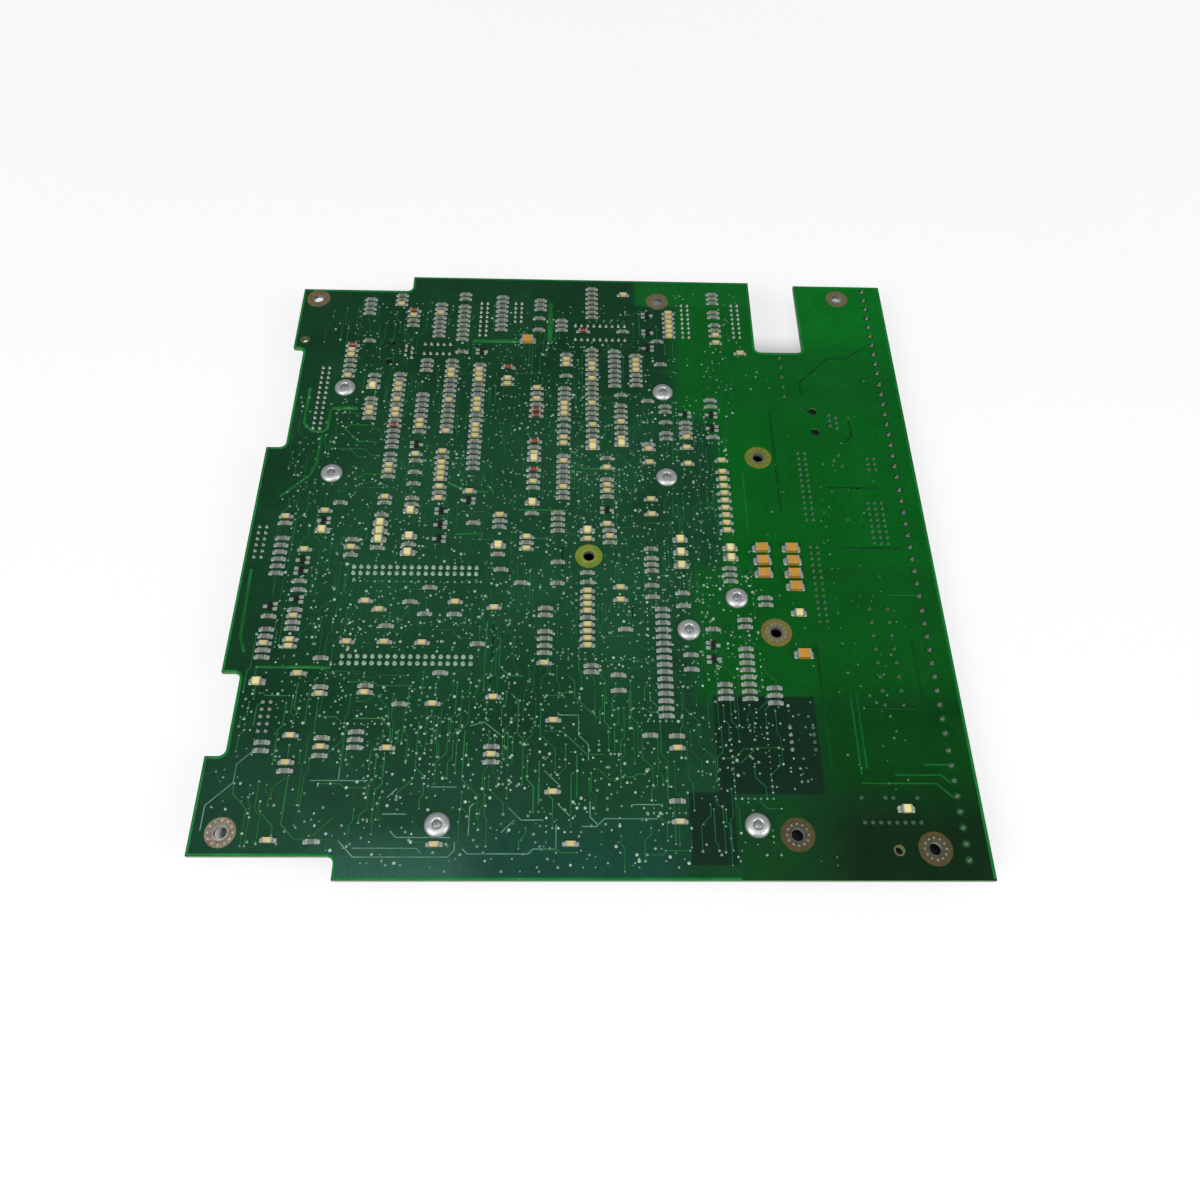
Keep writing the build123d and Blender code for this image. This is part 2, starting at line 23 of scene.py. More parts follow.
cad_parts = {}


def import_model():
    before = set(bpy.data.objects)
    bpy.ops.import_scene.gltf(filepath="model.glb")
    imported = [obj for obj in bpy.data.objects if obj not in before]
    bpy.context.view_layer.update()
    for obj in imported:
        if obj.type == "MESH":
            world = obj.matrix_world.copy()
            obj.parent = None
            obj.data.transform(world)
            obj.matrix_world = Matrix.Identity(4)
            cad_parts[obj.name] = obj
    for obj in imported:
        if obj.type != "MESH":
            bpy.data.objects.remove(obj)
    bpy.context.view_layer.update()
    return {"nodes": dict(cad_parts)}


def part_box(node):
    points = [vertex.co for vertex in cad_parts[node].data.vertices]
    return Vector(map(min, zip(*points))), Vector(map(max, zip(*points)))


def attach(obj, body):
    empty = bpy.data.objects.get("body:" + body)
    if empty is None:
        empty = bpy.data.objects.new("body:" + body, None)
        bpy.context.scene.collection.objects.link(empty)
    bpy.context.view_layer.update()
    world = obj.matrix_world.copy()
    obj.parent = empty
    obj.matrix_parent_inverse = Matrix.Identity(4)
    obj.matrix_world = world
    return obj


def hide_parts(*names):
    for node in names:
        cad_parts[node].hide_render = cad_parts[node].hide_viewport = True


LOG = logging.getLogger("control_board")
MM = 0.001
PITCH = 2.54  # mm between header pins
TERMINAL_PITCH = 5.08  # mm between the poles of a screw terminal
TERMINAL_BLOCKS = tuple(f"terminal_block_{number}" for number in range(1, 6))
JACKS = ("keypad_jack", "network_jack")
JACK_PEG_X = 7.7  # mm from a jack's mouth to its pegs
SOLDER_OVERLAP = 0.7  # mm that a plated hole may reach under a chip's solder
SIDE_GAP = 0.1  # mm added beside a chip

Thing = bpy.types.Object
Tree = bpy.types.NodeTree
Socket = bpy.types.NodeSocket
Sockets = bpy.types.NodeOutputs
Point = tuple[float, float]
Path = Sequence[Point]
Place = tuple[float, float, float]
Block = tuple[float, float, float, float, float, float]
Patch = tuple[float, float, float, float, float]
Cell = tuple[int, int]
Colour = tuple[float, float, float]


def tone(red: int, green: int, blue: int) -> Colour:
    """Turn an everyday 0 to 255 colour into the linear one that shaders use.

    Args:
        red: Red, 0 to 255.
        green: Green, 0 to 255.
        blue: Blue, 0 to 255.

    Returns:
        The linear colour.
    """
    return tuple(
        value / 255 / 12.92 if value <= 10 else ((value / 255 + 0.055) / 1.055) ** 2.4
        for value in (red, green, blue)
    )


class Direction(Enum):
    """Which way a transistor's single lead points, as its turn in degrees."""

    RIGHT = 0.0
    LEFT = 180.0


# --- Reading the frame -----------------------------------------------------------------------------


@dataclass(frozen=True)
class Box:
    """An upright box in millimetres, such as that of one solid."""

    low: Vector
    high: Vector

    @property
    def middle(self) -> Vector:
        """Its middle."""
        return (self.low + self.high) / 2

    @property
    def size(self) -> Vector:
        """Its size along X, Y and Z."""
        return self.high - self.low

    @staticmethod
    def of(node: str) -> Box:
        """Return the box of a CAD node."""
        low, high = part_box(node)
        return Box(Vector(low) / MM, Vector(high) / MM)


def solids_of(node: Thing) -> list[Box]:
    """Find the separate solids in a CAD node.

    Args:
        node: The node's object.

    Returns:
        The box of each solid, sorted from far to near and from left to right.
    """
    mesh = node.data
    keys: dict[tuple[int, ...], int] = {}  # corners in whole micrometres
    same = [keys.setdefault(tuple(round(c * 1e6) for c in v.co), len(keys)) for v in mesh.vertices]
    parent = list(range(len(keys)))

    def root(item: int) -> int:
        """Follow an item to the head of its set.

        Args:
            item: The item.

        Returns:
            The head.
        """
        while parent[item] != item:
            parent[item] = parent[parent[item]]
            item = parent[item]
        return item

    for polygon in mesh.polygons:
        first = root(same[polygon.vertices[0]])
        for corner in polygon.vertices[1:]:
            parent[root(same[corner])] = first
    corners: dict[int, list[Vector]] = {}
    for key, item in keys.items():
        corners.setdefault(root(item), []).append(Vector(key) / 1000)
    boxes = [Box(*(Vector(map(pick, zip(*ps))) for pick in (min, max))) for ps in corners.values()]
    return sorted(boxes, key=lambda box: (-box.middle.y, box.middle.x))


def grid(
    middle: Vector, columns: int, rows: int, pitch_x: float = PITCH, pitch_y: float = PITCH
) -> list[Point]:
    """Return the points of a grid round its middle.

    Args:
        middle: The grid's middle.
        columns: Number of points along X.
        rows: Number of points along Y.
        pitch_x: Distance between columns.
        pitch_y: Distance between rows.

    Returns:
        The points.
    """
    return [
        (middle.x + (column - (columns - 1) / 2) * pitch_x, middle.y + (row - (rows - 1) / 2) * pitch_y)
        for column in range(columns)
        for row in range(rows)
    ]


def terminal_points(from_back: float = 0.0, from_front: float = 0.0) -> list[Point]:
    """Return one point for each pole of the terminal blocks, on a line along each block.

    Args:
        from_back: Distance of the line from the block's low X, or 0.
        from_front: Distance of the line from its high X, where from_back is 0.

    Returns:
        The points.
    """
    points = []
    for box in map(Box.of, TERMINAL_BLOCKS):
        x = box.low.x + from_back if from_back else box.high.x - from_front
        poles = round(box.size.y / TERMINAL_PITCH)
        points += grid(Vector((x, box.middle.y, 0)), 1, poles, pitch_y=TERMINAL_PITCH)
    return points


def in_scene(name: str, data: bpy.types.ID) -> Thing:
    """Put a new object into the scene.

    Args:
        name: Its name.
        data: Its mesh, lamp or camera.

    Returns:
        The object.
    """
    thing = bpy.data.objects.new(name, data)
    bpy.context.scene.collection.objects.link(thing)
    return thing


# --- Finishes --------------------------------------------------------------------------------------


@dataclass
class NodeDesk:
    """Adds nodes to one tree and links them, with short calls."""

    tree: Tree

    def add(self, kind: str, **inputs: object) -> bpy.types.Node:
        """Add a node and fill its inputs.

        Args:
            kind: The node's type name.
            inputs: As for fill, and the node's own properties by their name after set_.

        Returns:
            The node.
        """
        node = self.tree.nodes.new(kind)
        for name in [name for name in inputs if name.startswith("set_")]:
            setattr(node, name.removeprefix("set_"), inputs.pop(name))
        self.fill(node, **inputs)
        return node

    def fill(self, node: bpy.types.Node, **inputs: object) -> None:
        """Give a node's inputs their values and links.

        Args:
            node: The node.
            inputs: Values or output sockets by input name, with "_" for a space, or i0, i1 by index.
        """
        for name, value in inputs.items():
            socket = node.inputs[int(name[1:])] if name[1:].isdigit() else node.inputs[name.replace("_", " ")]
            if isinstance(value, Socket):
                self.tree.links.new(value, socket)
            else:
                socket.default_value = value

    def where(self) -> Socket:
        """Return the Object coordinates."""
        return self.add("ShaderNodeTexCoord").outputs["Object"]

    def axes(self, vector: Socket) -> Sockets:
        """Return the three parts of a vector."""
        return self.add("ShaderNodeSeparateXYZ", Vector=vector).outputs

    def math(self, operation: str, first: object, second: object = 0.0) -> Socket:
        """Add a Math node and return its result."""
        return self.add("ShaderNodeMath", set_operation=operation, i0=first, i1=second).outputs[0]

    def product(self, *factors: object) -> Socket:
        """Multiply some values and return the result."""
        return reduce(lambda result, factor: self.math("MULTIPLY", result, factor), factors)

    def noise(self, where: Socket, size: float, detail: float = 3.0) -> Socket:
        """Add noise with features of about the given size in millimetres and return its value."""
        return self.add("ShaderNodeTexNoise", Vector=where, Scale=1 / (size * MM), Detail=detail).outputs[0]

    def remap(self, value: Socket, *span: float) -> Socket:
        """Turn a span of a value, its low and high end, into another and return the result."""
        low, high, to_low, to_high = span
        return self.add("ShaderNodeMapRange", i0=value, i1=low, i2=high, i3=to_low, i4=to_high).outputs[0]

    def inside(
        self, axes: Sockets, edges: Sequence[float], outwards: float, inwards: float
    ) -> Socket:
        """Tell a patch from what is round it.

        Args:
            axes: The place's X, Y and Z.
            edges: The patch's left, near, right and far edge.
            outwards: How far the soft change reaches out of the patch.
            inwards: How far it reaches into it.

        Returns:
            1 inside the patch and 0 outside, with the soft change between.
        """
        sides = []
        for axis in (0, 1):
            low, high = edges[axis], edges[axis + 2]
            sides.append(self.remap(axes[axis], low - outwards, low + inwards, 0.0, 1.0))
            sides.append(self.remap(axes[axis], high - inwards, high + outwards, 1.0, 0.0))
        return self.product(*sides)

    def spread(self, noise: Socket, low: float, high: float) -> Socket:
        """Spread the usual span of a noise over another span and return the result."""
        return self.remap(noise, 0.3, 0.7, low, high)

    def blend(self, factor: object, *colours: object) -> Socket:
        """Mix two colours, given as colours or sockets, and return the result."""
        first, second = (c if isinstance(c, Socket) else (*c, 1.0) for c in colours)
        return self.add("ShaderNodeMix", set_data_type="RGBA", i0=factor, i6=first, i7=second).outputs[2]

    def brightened(self, colour: Socket, value: Socket) -> Socket:
        """Multiply a colour's brightness and return the result."""
        return self.add("ShaderNodeHueSaturation", Value=value, Color=colour).outputs[0]


def new_material(name: str) -> tuple[bpy.types.Material, NodeDesk, bpy.types.Node]:
    """Start a material.

    Args:
        name: The material's name.

    Returns:
        The material, the desk for its nodes, and its Principled node.
    """
    material = bpy.data.materials.new(name)
    material.use_nodes = True
    return material, NodeDesk(material.node_tree), material.node_tree.nodes["Principled BSDF"]


@dataclass(frozen=True)
class Finish:
    """A finish with a mottled colour, uneven gloss and a fine grain."""

    name: str
    slot: str
    colour: Colour
    roughness: float = 0.5
    metallic: float = 0.0
    mottle: float = 0.15  # how far the colour goes up and down
    mottle_size: float = 3.0
    grain: float = 0.15  # strength of the bump
    grain_size: float = 0.3
    specular: float = 0.5

    def like(self, name: str, colour: Colour, **changes: object) -> Finish:
        """Return a finish like this one, but for its name, its colour and other changes."""
        return replace(self, name=name, colour=colour, **changes)

    def material(self) -> bpy.types.Material:
        """Return the finish's material, made at its first use.

        Returns:
            The material.
        """
        known = bpy.data.materials.get(self.name)
        if known:
            return known
        material, desk, shader = new_material(self.name)
        where = desk.where()
        dark = tuple(c * (1 - self.mottle) for c in self.colour)
        light = tuple(min(1.0, c * (1 + self.mottle)) for c in self.colour)
        grain = desk.noise(where, self.grain_size, 2.0)
        bump = desk.add("ShaderNodeBump", Strength=self.grain, Distance=0.05 * MM, Height=grain)
        desk.fill(
            shader,
            Base_Color=desk.blend(desk.spread(desk.noise(where, self.mottle_size), 0.0, 1.0), dark, light),
            Roughness=desk.spread(grain, max(0.05, self.roughness - 0.1), min(1.0, self.roughness + 0.1)),
            Normal=bump.outputs[0],
            Metallic=self.metallic,
            Specular_IOR_Level=self.specular,
        )
        return material


# name, slot, colour, roughness, metallic, mottle and its size, grain and its size, specular
TIN = Finish("tinned_solder", "can_metal", tone(172, 176, 170), 0.42, 0.65, 0.2, 0.9, 0.3, 0.4)
DULL_TIN = Finish("dull_solder", "can_metal", tone(128, 134, 126), 0.5, 0.6, 0.3, 0.7, 0.3, 0.3)
# a darker, greener copy of the dull solder: painted shade for the header joints on the right
SHADED_TIN = DULL_TIN.like("solder_under_flux", tone(78, 108, 84), metallic=0.4)
CAP_METAL = Finish("chip_end_metal", "can_metal", tone(160, 172, 160), 0.42, 0.5, 0.12, 0.8, 0.2, 0.3)
VIA_TIN = Finish("plated_tin", "can_metal", tone(114, 144, 122), 0.5, 0.4, 0.3, 2.5, 0.2, 0.3)
VIA_BRIGHT = VIA_TIN.like("plated_tin_bright", tone(158, 184, 164), roughness=0.45, mottle=0.2)
MASKED_VIA = VIA_TIN.like("masked_via", tone(74, 118, 84), metallic=0.2, specular=0.3)
PAD_DOTS = VIA_TIN.like("dull_pad_dots", tone(132, 132, 112), mottle=0.2, mottle_size=1)
BRIGHT_DOTS = PAD_DOTS.like("bright_pad_dots", tone(172, 178, 154))
PIN_METAL = Finish("pin_metal", "can_metal", tone(196, 194, 186), 0.25, 0.95, 0.08, 2, 0.1, 0.4)
GOLD = Finish("gold_contact", "can_metal", tone(214, 170, 84), 0.22, 0.95, 0.06, 2, 0.1, 0.4)
CAN = Finish("crystal_can", "can_metal", tone(186, 188, 190), 0.3, 0.9, 0.06, 3, 0.1, 0.5)
RIVET_METAL = Finish("satin_rivet", "rivet_metal", tone(186, 189, 188), 0.42, 0.75, 0.03, 6, 0.02, 1.2, 0.5)
DULL_MANDREL = Finish("rivet_mandrel", "rivet_metal", tone(150, 152, 150), 0.4, 0.8, 0.1, 1, 0.1, 0.6, 0.5)
ZINC = Finish("zinc_sheet", "sheet_metal", tone(176, 180, 182), 0.38, 0.85, 0.14, 6, 0.25, 0.6)
BROWN_COPPER = Finish("bare_copper", "board", tone(104, 94, 66), 0.55, 0.2, 0.25, 1.1, 0.3, 0.4, 0.3)
BROWN_LIP = Finish("worn_copper", "board", tone(116, 108, 86), 0.5, 0.3, 0.2, 1, 0.2, 0.4, 0.3)
PINK_COPPER = Finish("tarnished_pad", "board", tone(126, 114, 97), 0.55, 0.3, 0.3, 1, 0.3, 0.4, 0.3)
YELLOW_MASK = Finish("thin_mask_over_copper", "board", tone(104, 110, 34), 0.5, 0.05, 0.2, 1.4, 0.2, 0.5, 0.3)
YELLOW_LIP = YELLOW_MASK.like("thin_mask_lip", tone(104, 106, 68), roughness=0.45, metallic=0.2)
BRIGHT_MASK = YELLOW_MASK.like("bright_mask_over_copper", tone(106, 124, 36))
BRIGHT_LIP = YELLOW_LIP.like("bright_mask_lip", tone(122, 134, 54), metallic=0.1)
OLIVE_MASK = YELLOW_MASK.like("olive_mask_over_copper", tone(104, 96, 42))
OLIVE_LIP = YELLOW_LIP.like("olive_mask_lip", tone(108, 106, 82), metallic=0.3)
DARK_MASK = YELLOW_MASK.like("dark_mask_over_copper", tone(71, 62, 31))
DARK_LIP = OLIVE_LIP.like("dark_mask_lip", tone(74, 72, 58))
CLEARANCE = Finish("mask_over_bare_board", "board", tone(5, 68, 24), 0.5, 0, 0.1, 3, 0.1, 0.8, 0.1)
RIM = Finish("mask_over_rim", "board", tone(20, 112, 48), 0.45, 0, 0.2, 8, 0.1, 0.8, 0.1)
TRACK = Finish("masked_track", "board", tone(26, 98, 44), 0.45, 0, 0.35, 9, 0.12, 0.8, 0.1)
TRACK_FAINT = TRACK.like("masked_track_faint", tone(28, 84, 50), mottle=0.4, mottle_size=14)
TRACK_NEAR = TRACK.like("masked_track_near", tone(36, 98, 52), mottle_size=12)
TRACK_PALE = TRACK.like("masked_track_pale", tone(86, 130, 110), mottle=0.3)
TRACK_RIGHT = TRACK.like("masked_track_right", tone(10, 94, 32), mottle=0.2)
COPPER_GAP = TRACK.like("gap_in_the_copper", tone(4, 66, 22), roughness=0.5, mottle=0.2)
TERMINAL = Finish("terminal_plastic", "terminal_green", tone(34, 112, 62), 0.42, 0, 0.06, 6, 0.3, 0.25)
BLACK_PLASTIC = Finish("header_plastic", "header_black", tone(28, 28, 29), 0.48, 0, 0.15, 4, 0.3, 0.25)
JACK_PLASTIC = Finish("jack_shell", "jack_plastic", tone(34, 34, 35), 0.4, 0, 0.12, 5, 0.25, 0.25)
PEG_BLACK = Finish("peg_plastic", "jack_plastic", tone(10, 12, 11), 0.6, 0, 0.2, 2, 0.2, 0.3, 0.2)
CHIP_PLASTIC = Finish("chip_case", "chip_black", tone(32, 32, 34), 0.55, 0, 0.15, 2, 0.5, 0.2)
RELAY_SHELL = Finish("relay_shell", "relay_plastic", tone(206, 202, 188), 0.35, 0, 0.05, 5, 0.1, 0.4)
BLUE_DIP = Finish("dipped_blue", "capacitor_blue", tone(38, 74, 158), 0.3, 0, 0.12, 2, 0.3, 0.8)
TRIMMER_BLUE = Finish("trimmer_case", "trimmer_blue", tone(30, 84, 170), 0.38, 0, 0.08, 3, 0.2, 0.3)
RESISTOR = Finish("resistor_glaze", "resistor_dark", tone(108, 112, 106), 0.4, 0, 0.3, 2.5, 0.2, 0.3, 0.3)
CREAM = Finish("ceramic_cream_body", "ceramic_cream", tone(194, 178, 122), 0.5, 0, 0.16, 5, 0.3, 0.25, 0.3)
PALE_YELLOW = CREAM.like("ceramic_yellow_body", tone(220, 206, 142), slot="ceramic_yellow", mottle=0.08)
TAN = Finish("film_tan_body", "film_tan", tone(182, 132, 54), 0.45, 0, 0.1, 2.5, 0.3, 0.3, 0.3)
DIODE_GLASS = Finish("diode_glass", "diode_brown", tone(132, 60, 44), 0.25, 0, 0.15, 1.5, 0.1, 0.4, 0.4)
TRANSISTOR = Finish("transistor_case", "transistor_black", tone(16, 18, 18), 0.5, 0, 0.15, 1, 0.4, 0.2, 0.3)


@dataclass(frozen=True)
class Zone:
    """A rectangle of the board where the mask takes another colour, mostly from the copper under it; the teal
    ones near the near edge are painted sheen.
    """

    left: float
    near: float
    right: float
    far: float
    colour: Colour
    soft: float = 0.4  # width of the change at its edges
    strength: float = 1.0

    def strength_at(self, desk: NodeDesk, axes: Sockets) -> Socket:
        """Return the zone's strength inside it and 0 outside, with a soft change between."""
        edges = [edge * MM for edge in (self.left, self.near, self.right, self.far)]
        return desk.product(desk.inside(axes, edges, self.soft * MM, self.soft * MM), self.strength)


@dataclass(frozen=True)
class SolderMask:
    """The board's own surface: green mask over copper zones and patches of painted sheen, and a paler sawn
    edge.
    """

    name: str = "solder_mask"
    dark: Colour = tone(15, 56, 32)
    edge: Colour = tone(70, 128, 60)
    zones: tuple[Zone, ...] = (
        Zone(33, 52, 140, 140, tone(4, 82, 24), 4.0),
        Zone(47, -18, 140, 56, tone(2, 83, 21), 3.0),
        Zone(35, -68, 140, -16, tone(4, 76, 20), 3.0),
        Zone(84, 86, 140, 140, tone(1, 99, 25), 9.0),
        Zone(18, 112, 74, 140, tone(8, 90, 32), 1.0, 0.8),
        Zone(72, -140, 140, -64, tone(3, 60, 15), 7.0),
        Zone(44.5, -140, 100, -100.5, tone(10, 58, 24), 2.0),
        Zone(72, -140, 140, -99, tone(9, 34, 15), 10.0, 0.9),
        # painted sheen: a teal reflection over the near-left part of the mask
        Zone(-130, -140, -14, -84, tone(26, 63, 46), 14.0, 0.75),
        # painted sheen: a bluish tint along the near edge
        Zone(-36, -140, 28, -110, tone(18, 64, 54), 8.0, 0.6),
        Zone(-96, -58, 30, 50, tone(26, 72, 46), 22.0, 0.6),
        # painted sheen: a paler teal reflection along the near-left edge
        Zone(-84, -140, -36, -116, tone(46, 88, 74), 7.0, 0.8),
        Zone(40, -99.5, 73.7, -66, tone(12, 39, 24)),
        Zone(30, -122, 44.5, -99, tone(12, 39, 25)),
        Zone(29, -140, 45, -122, tone(10, 62, 28), 0.4, 0.8),
    )
    # sizes of the unevenness, and how far each one takes the mask down and up
    cloud_size: float = 38.0
    cloud: Point = (0.82, 1.2)
    weave_size: float = 1.1
    weave: Point = (0.9, 1.1)
    cast_size: float = 16.0
    cast: Point = (0.9, 1.12)
    gloss_size: float = 5.0
    gloss: Point = (0.3, 0.42)
    grain: float = 0.12  # strength of the bump
    specular: float = 0.1

    def material(self) -> bpy.types.Material:
        """Build the mask's material.

        Returns:
            The material.
        """
        material, desk, shader = new_material(self.name)
        where = desk.where()
        axes = desk.axes(where)
        cloud = desk.remap(desk.noise(where, self.cloud_size, 4.0), 0.35, 0.65, 0.0, 1.0)
        colour = desk.blend(cloud, *(tuple(c * share for c in self.dark) for share in self.cloud))
        for zone in self.zones:
            colour = desk.blend(zone.strength_at(desk, axes), colour, zone.colour)
        weave = desk.noise(where, self.weave_size, 2.0)
        colour = desk.brightened(colour, desk.spread(weave, *self.weave))
        colour = desk.brightened(colour, desk.spread(desk.noise(where, self.cast_size), *self.cast))
        faces = desk.axes(desk.add("ShaderNodeNewGeometry").outputs["Normal"])
        is_edge = desk.remap(desk.math("ABSOLUTE", faces[2]), 0.3, 0.6, 1.0, 0.0)
        bump = desk.add("ShaderNodeBump", Strength=self.grain, Distance=0.03 * MM, Height=weave)
        desk.fill(
            shader,
            Base_Color=desk.blend(is_edge, colour, self.edge),
            Roughness=desk.spread(desk.noise(where, self.gloss_size), *self.gloss),
            Normal=bump.outputs[0],
            Specular_IOR_Level=self.specular,
        )
        return material


# --- Small shapes, a few dozen faces each, that the trees repeat -----------------------------------


@dataclass
class ShapeShop:
    """Makes the small shapes that are repeated, and clears them away at the end."""

    made: list[Thing] = field(default_factory=list)

    def _keep(self, name: str, mesh: bmesh.types.BMesh) -> Thing:
        """Turn a bmesh into an object outside the scene and remember it.

        Args:
            name: The shape's name.
            mesh: Its faces.

        Returns:
            The shape.
        """
        bmesh.ops.recalc_face_normals(mesh, faces=mesh.faces)
        data = bpy.data.meshes.new(name)
        mesh.to_mesh(data)
        mesh.free()
        self.made.append(bpy.data.objects.new(name, data))
        return self.made[-1]

    def blocks(self, name: str, boxes: list[Block], bevel: float = 0.0) -> Thing:
        """Make a shape of upright blocks.

        Args:
            name: The shape's name.
            boxes: x0, y0, z0, x1, y1, z1 of each block.
            bevel: Width of the bevel on every edge.

        Returns:
            The shape.
        """
        mesh = bmesh.new()
        for x0, y0, z0, x1, y1, z1 in boxes:
            size = Matrix.Diagonal((x1 - x0, y1 - y0, z1 - z0, 1))
            place = Matrix.Translation(((x0 + x1) / 2, (y0 + y1) / 2, (z0 + z1) / 2))
            bmesh.ops.create_cube(mesh, size=1, matrix=place @ size)
        if bevel:
            bmesh.ops.bevel(mesh, geom=list(mesh.edges), offset=bevel, segments=1, affect="EDGES")
        return self._keep(name, mesh)

    def turned(self, name: str, profile: list[Point], sides: int, closed: bool = False) -> Thing:
        """Make a round shape from a profile of radius and height.

        Args:
            name: The shape's name.
            profile: Radius and height of each ring, from the bottom up and inwards.
            sides: Number of faces round the shape.
            closed: Whether the last ring joins the first, as on a washer.

        Returns:
            The shape.
        """
        mesh = bmesh.new()
        turns = [2 * math.pi * side / sides for side in range(sides)]
        rings = []
        for radius, height in profile:
            around = [(radius * math.cos(turn), radius * math.sin(turn), height) for turn in turns]
            rings.append([mesh.verts.new(corner) for corner in (around if radius else around[:1])])
        for lower, upper in zip(rings, rings[1:] + (rings[:1] if closed else [])):
            for side in range(sides):
                following = (side + 1) % sides
                corners = [lower[side % len(lower)], lower[following % len(lower)]]
                corners += [upper[following % len(upper)], upper[side % len(upper)]]
                mesh.faces.new(list(dict.fromkeys(corners)))
        if not closed and len(rings[0]) > 1:
            mesh.faces.new(rings[0])
        return self._keep(name, mesh)

    def _bars(self, name: str, bars: list[list[list[Place]]]) -> Thing:
        """Make a shape of closed bars.

        Args:
            name: The shape's name.
            bars: The sections of each bar from end to end, each of four corners.

        Returns:
            The shape.
        """
        mesh = bmesh.new()
        for sections in bars:
            rows = [[mesh.verts.new(corner) for corner in section] for section in sections]
            for first, second in zip(rows, rows[1:]):
                for here, following in ((0, 1), (1, 2), (2, 3), (3, 0)):
                    mesh.faces.new((first[here], first[following], second[following], second[here]))
            mesh.faces.new(rows[0])
            mesh.faces.new(rows[-1][::-1])
        bmesh.ops.remove_doubles(mesh, verts=mesh.verts, dist=1e-5)
        return self._keep(name, mesh)

    def wedges(self, name: str, inner: float, high: float = 0.6, low: float = 0.16) -> Thing:
        """Make the pair of solder wedges at a chip's ends, one unit long overall and one wide.

        Args:
            name: The shape's name.
            inner: Where the wedge starts, as a share of the half length.
            high: Height at the chip.
            low: Height near the outer end.

        Returns:
            The shape.
        """
        steps = ((inner, 0.5, high), (0.62, 0.5, high * 0.55), (0.9, 0.46, low), (1.0, 0.3, 0.0))
        bars = []
        for side in (-0.5, 0.5):
            across = [(side * along, half, half * 0.8, height) for along, half, height in steps]
            bars.append([[(x, -a, 0.0), (x, a, 0.0), (x, b, z), (x, -b, z)] for x, a, b, z in across])
        return self._bars(name, bars)

    def gull_lead(self, name: str) -> Thing:
        """Make one bent lead, a unit long outwards along X, a unit wide and a unit down.

        Args:
            name: The shape's name.

        Returns:
            The shape.
        """
        section = ((-0.5, -0.12), (0.5, -0.12), (0.5, 0.0), (-0.5, 0.0))
        path = ((0.0, 1.0), (0.35, 1.0), (0.6, 0.12), (1.0, 0.12))
        return self._bars(name, [[[(x, y, z + up) for y, up in section] for x, z in path]])

    def clear(self) -> None:
        """Remove the shapes once all pieces are made."""
        for shape in self.made:
            bpy.data.objects.remove(shape)
        self.made.clear()


# --- Geometry Nodes that repeat a shape or lay a track ---------------------------------------------


@dataclass(frozen=True)
class Spot:
    """One place for a repeated shape."""

    x: float
    y: float
    z: float
    turn: float = 0.0  # degrees about Z
    size: Place = (1.0, 1.0, 1.0)


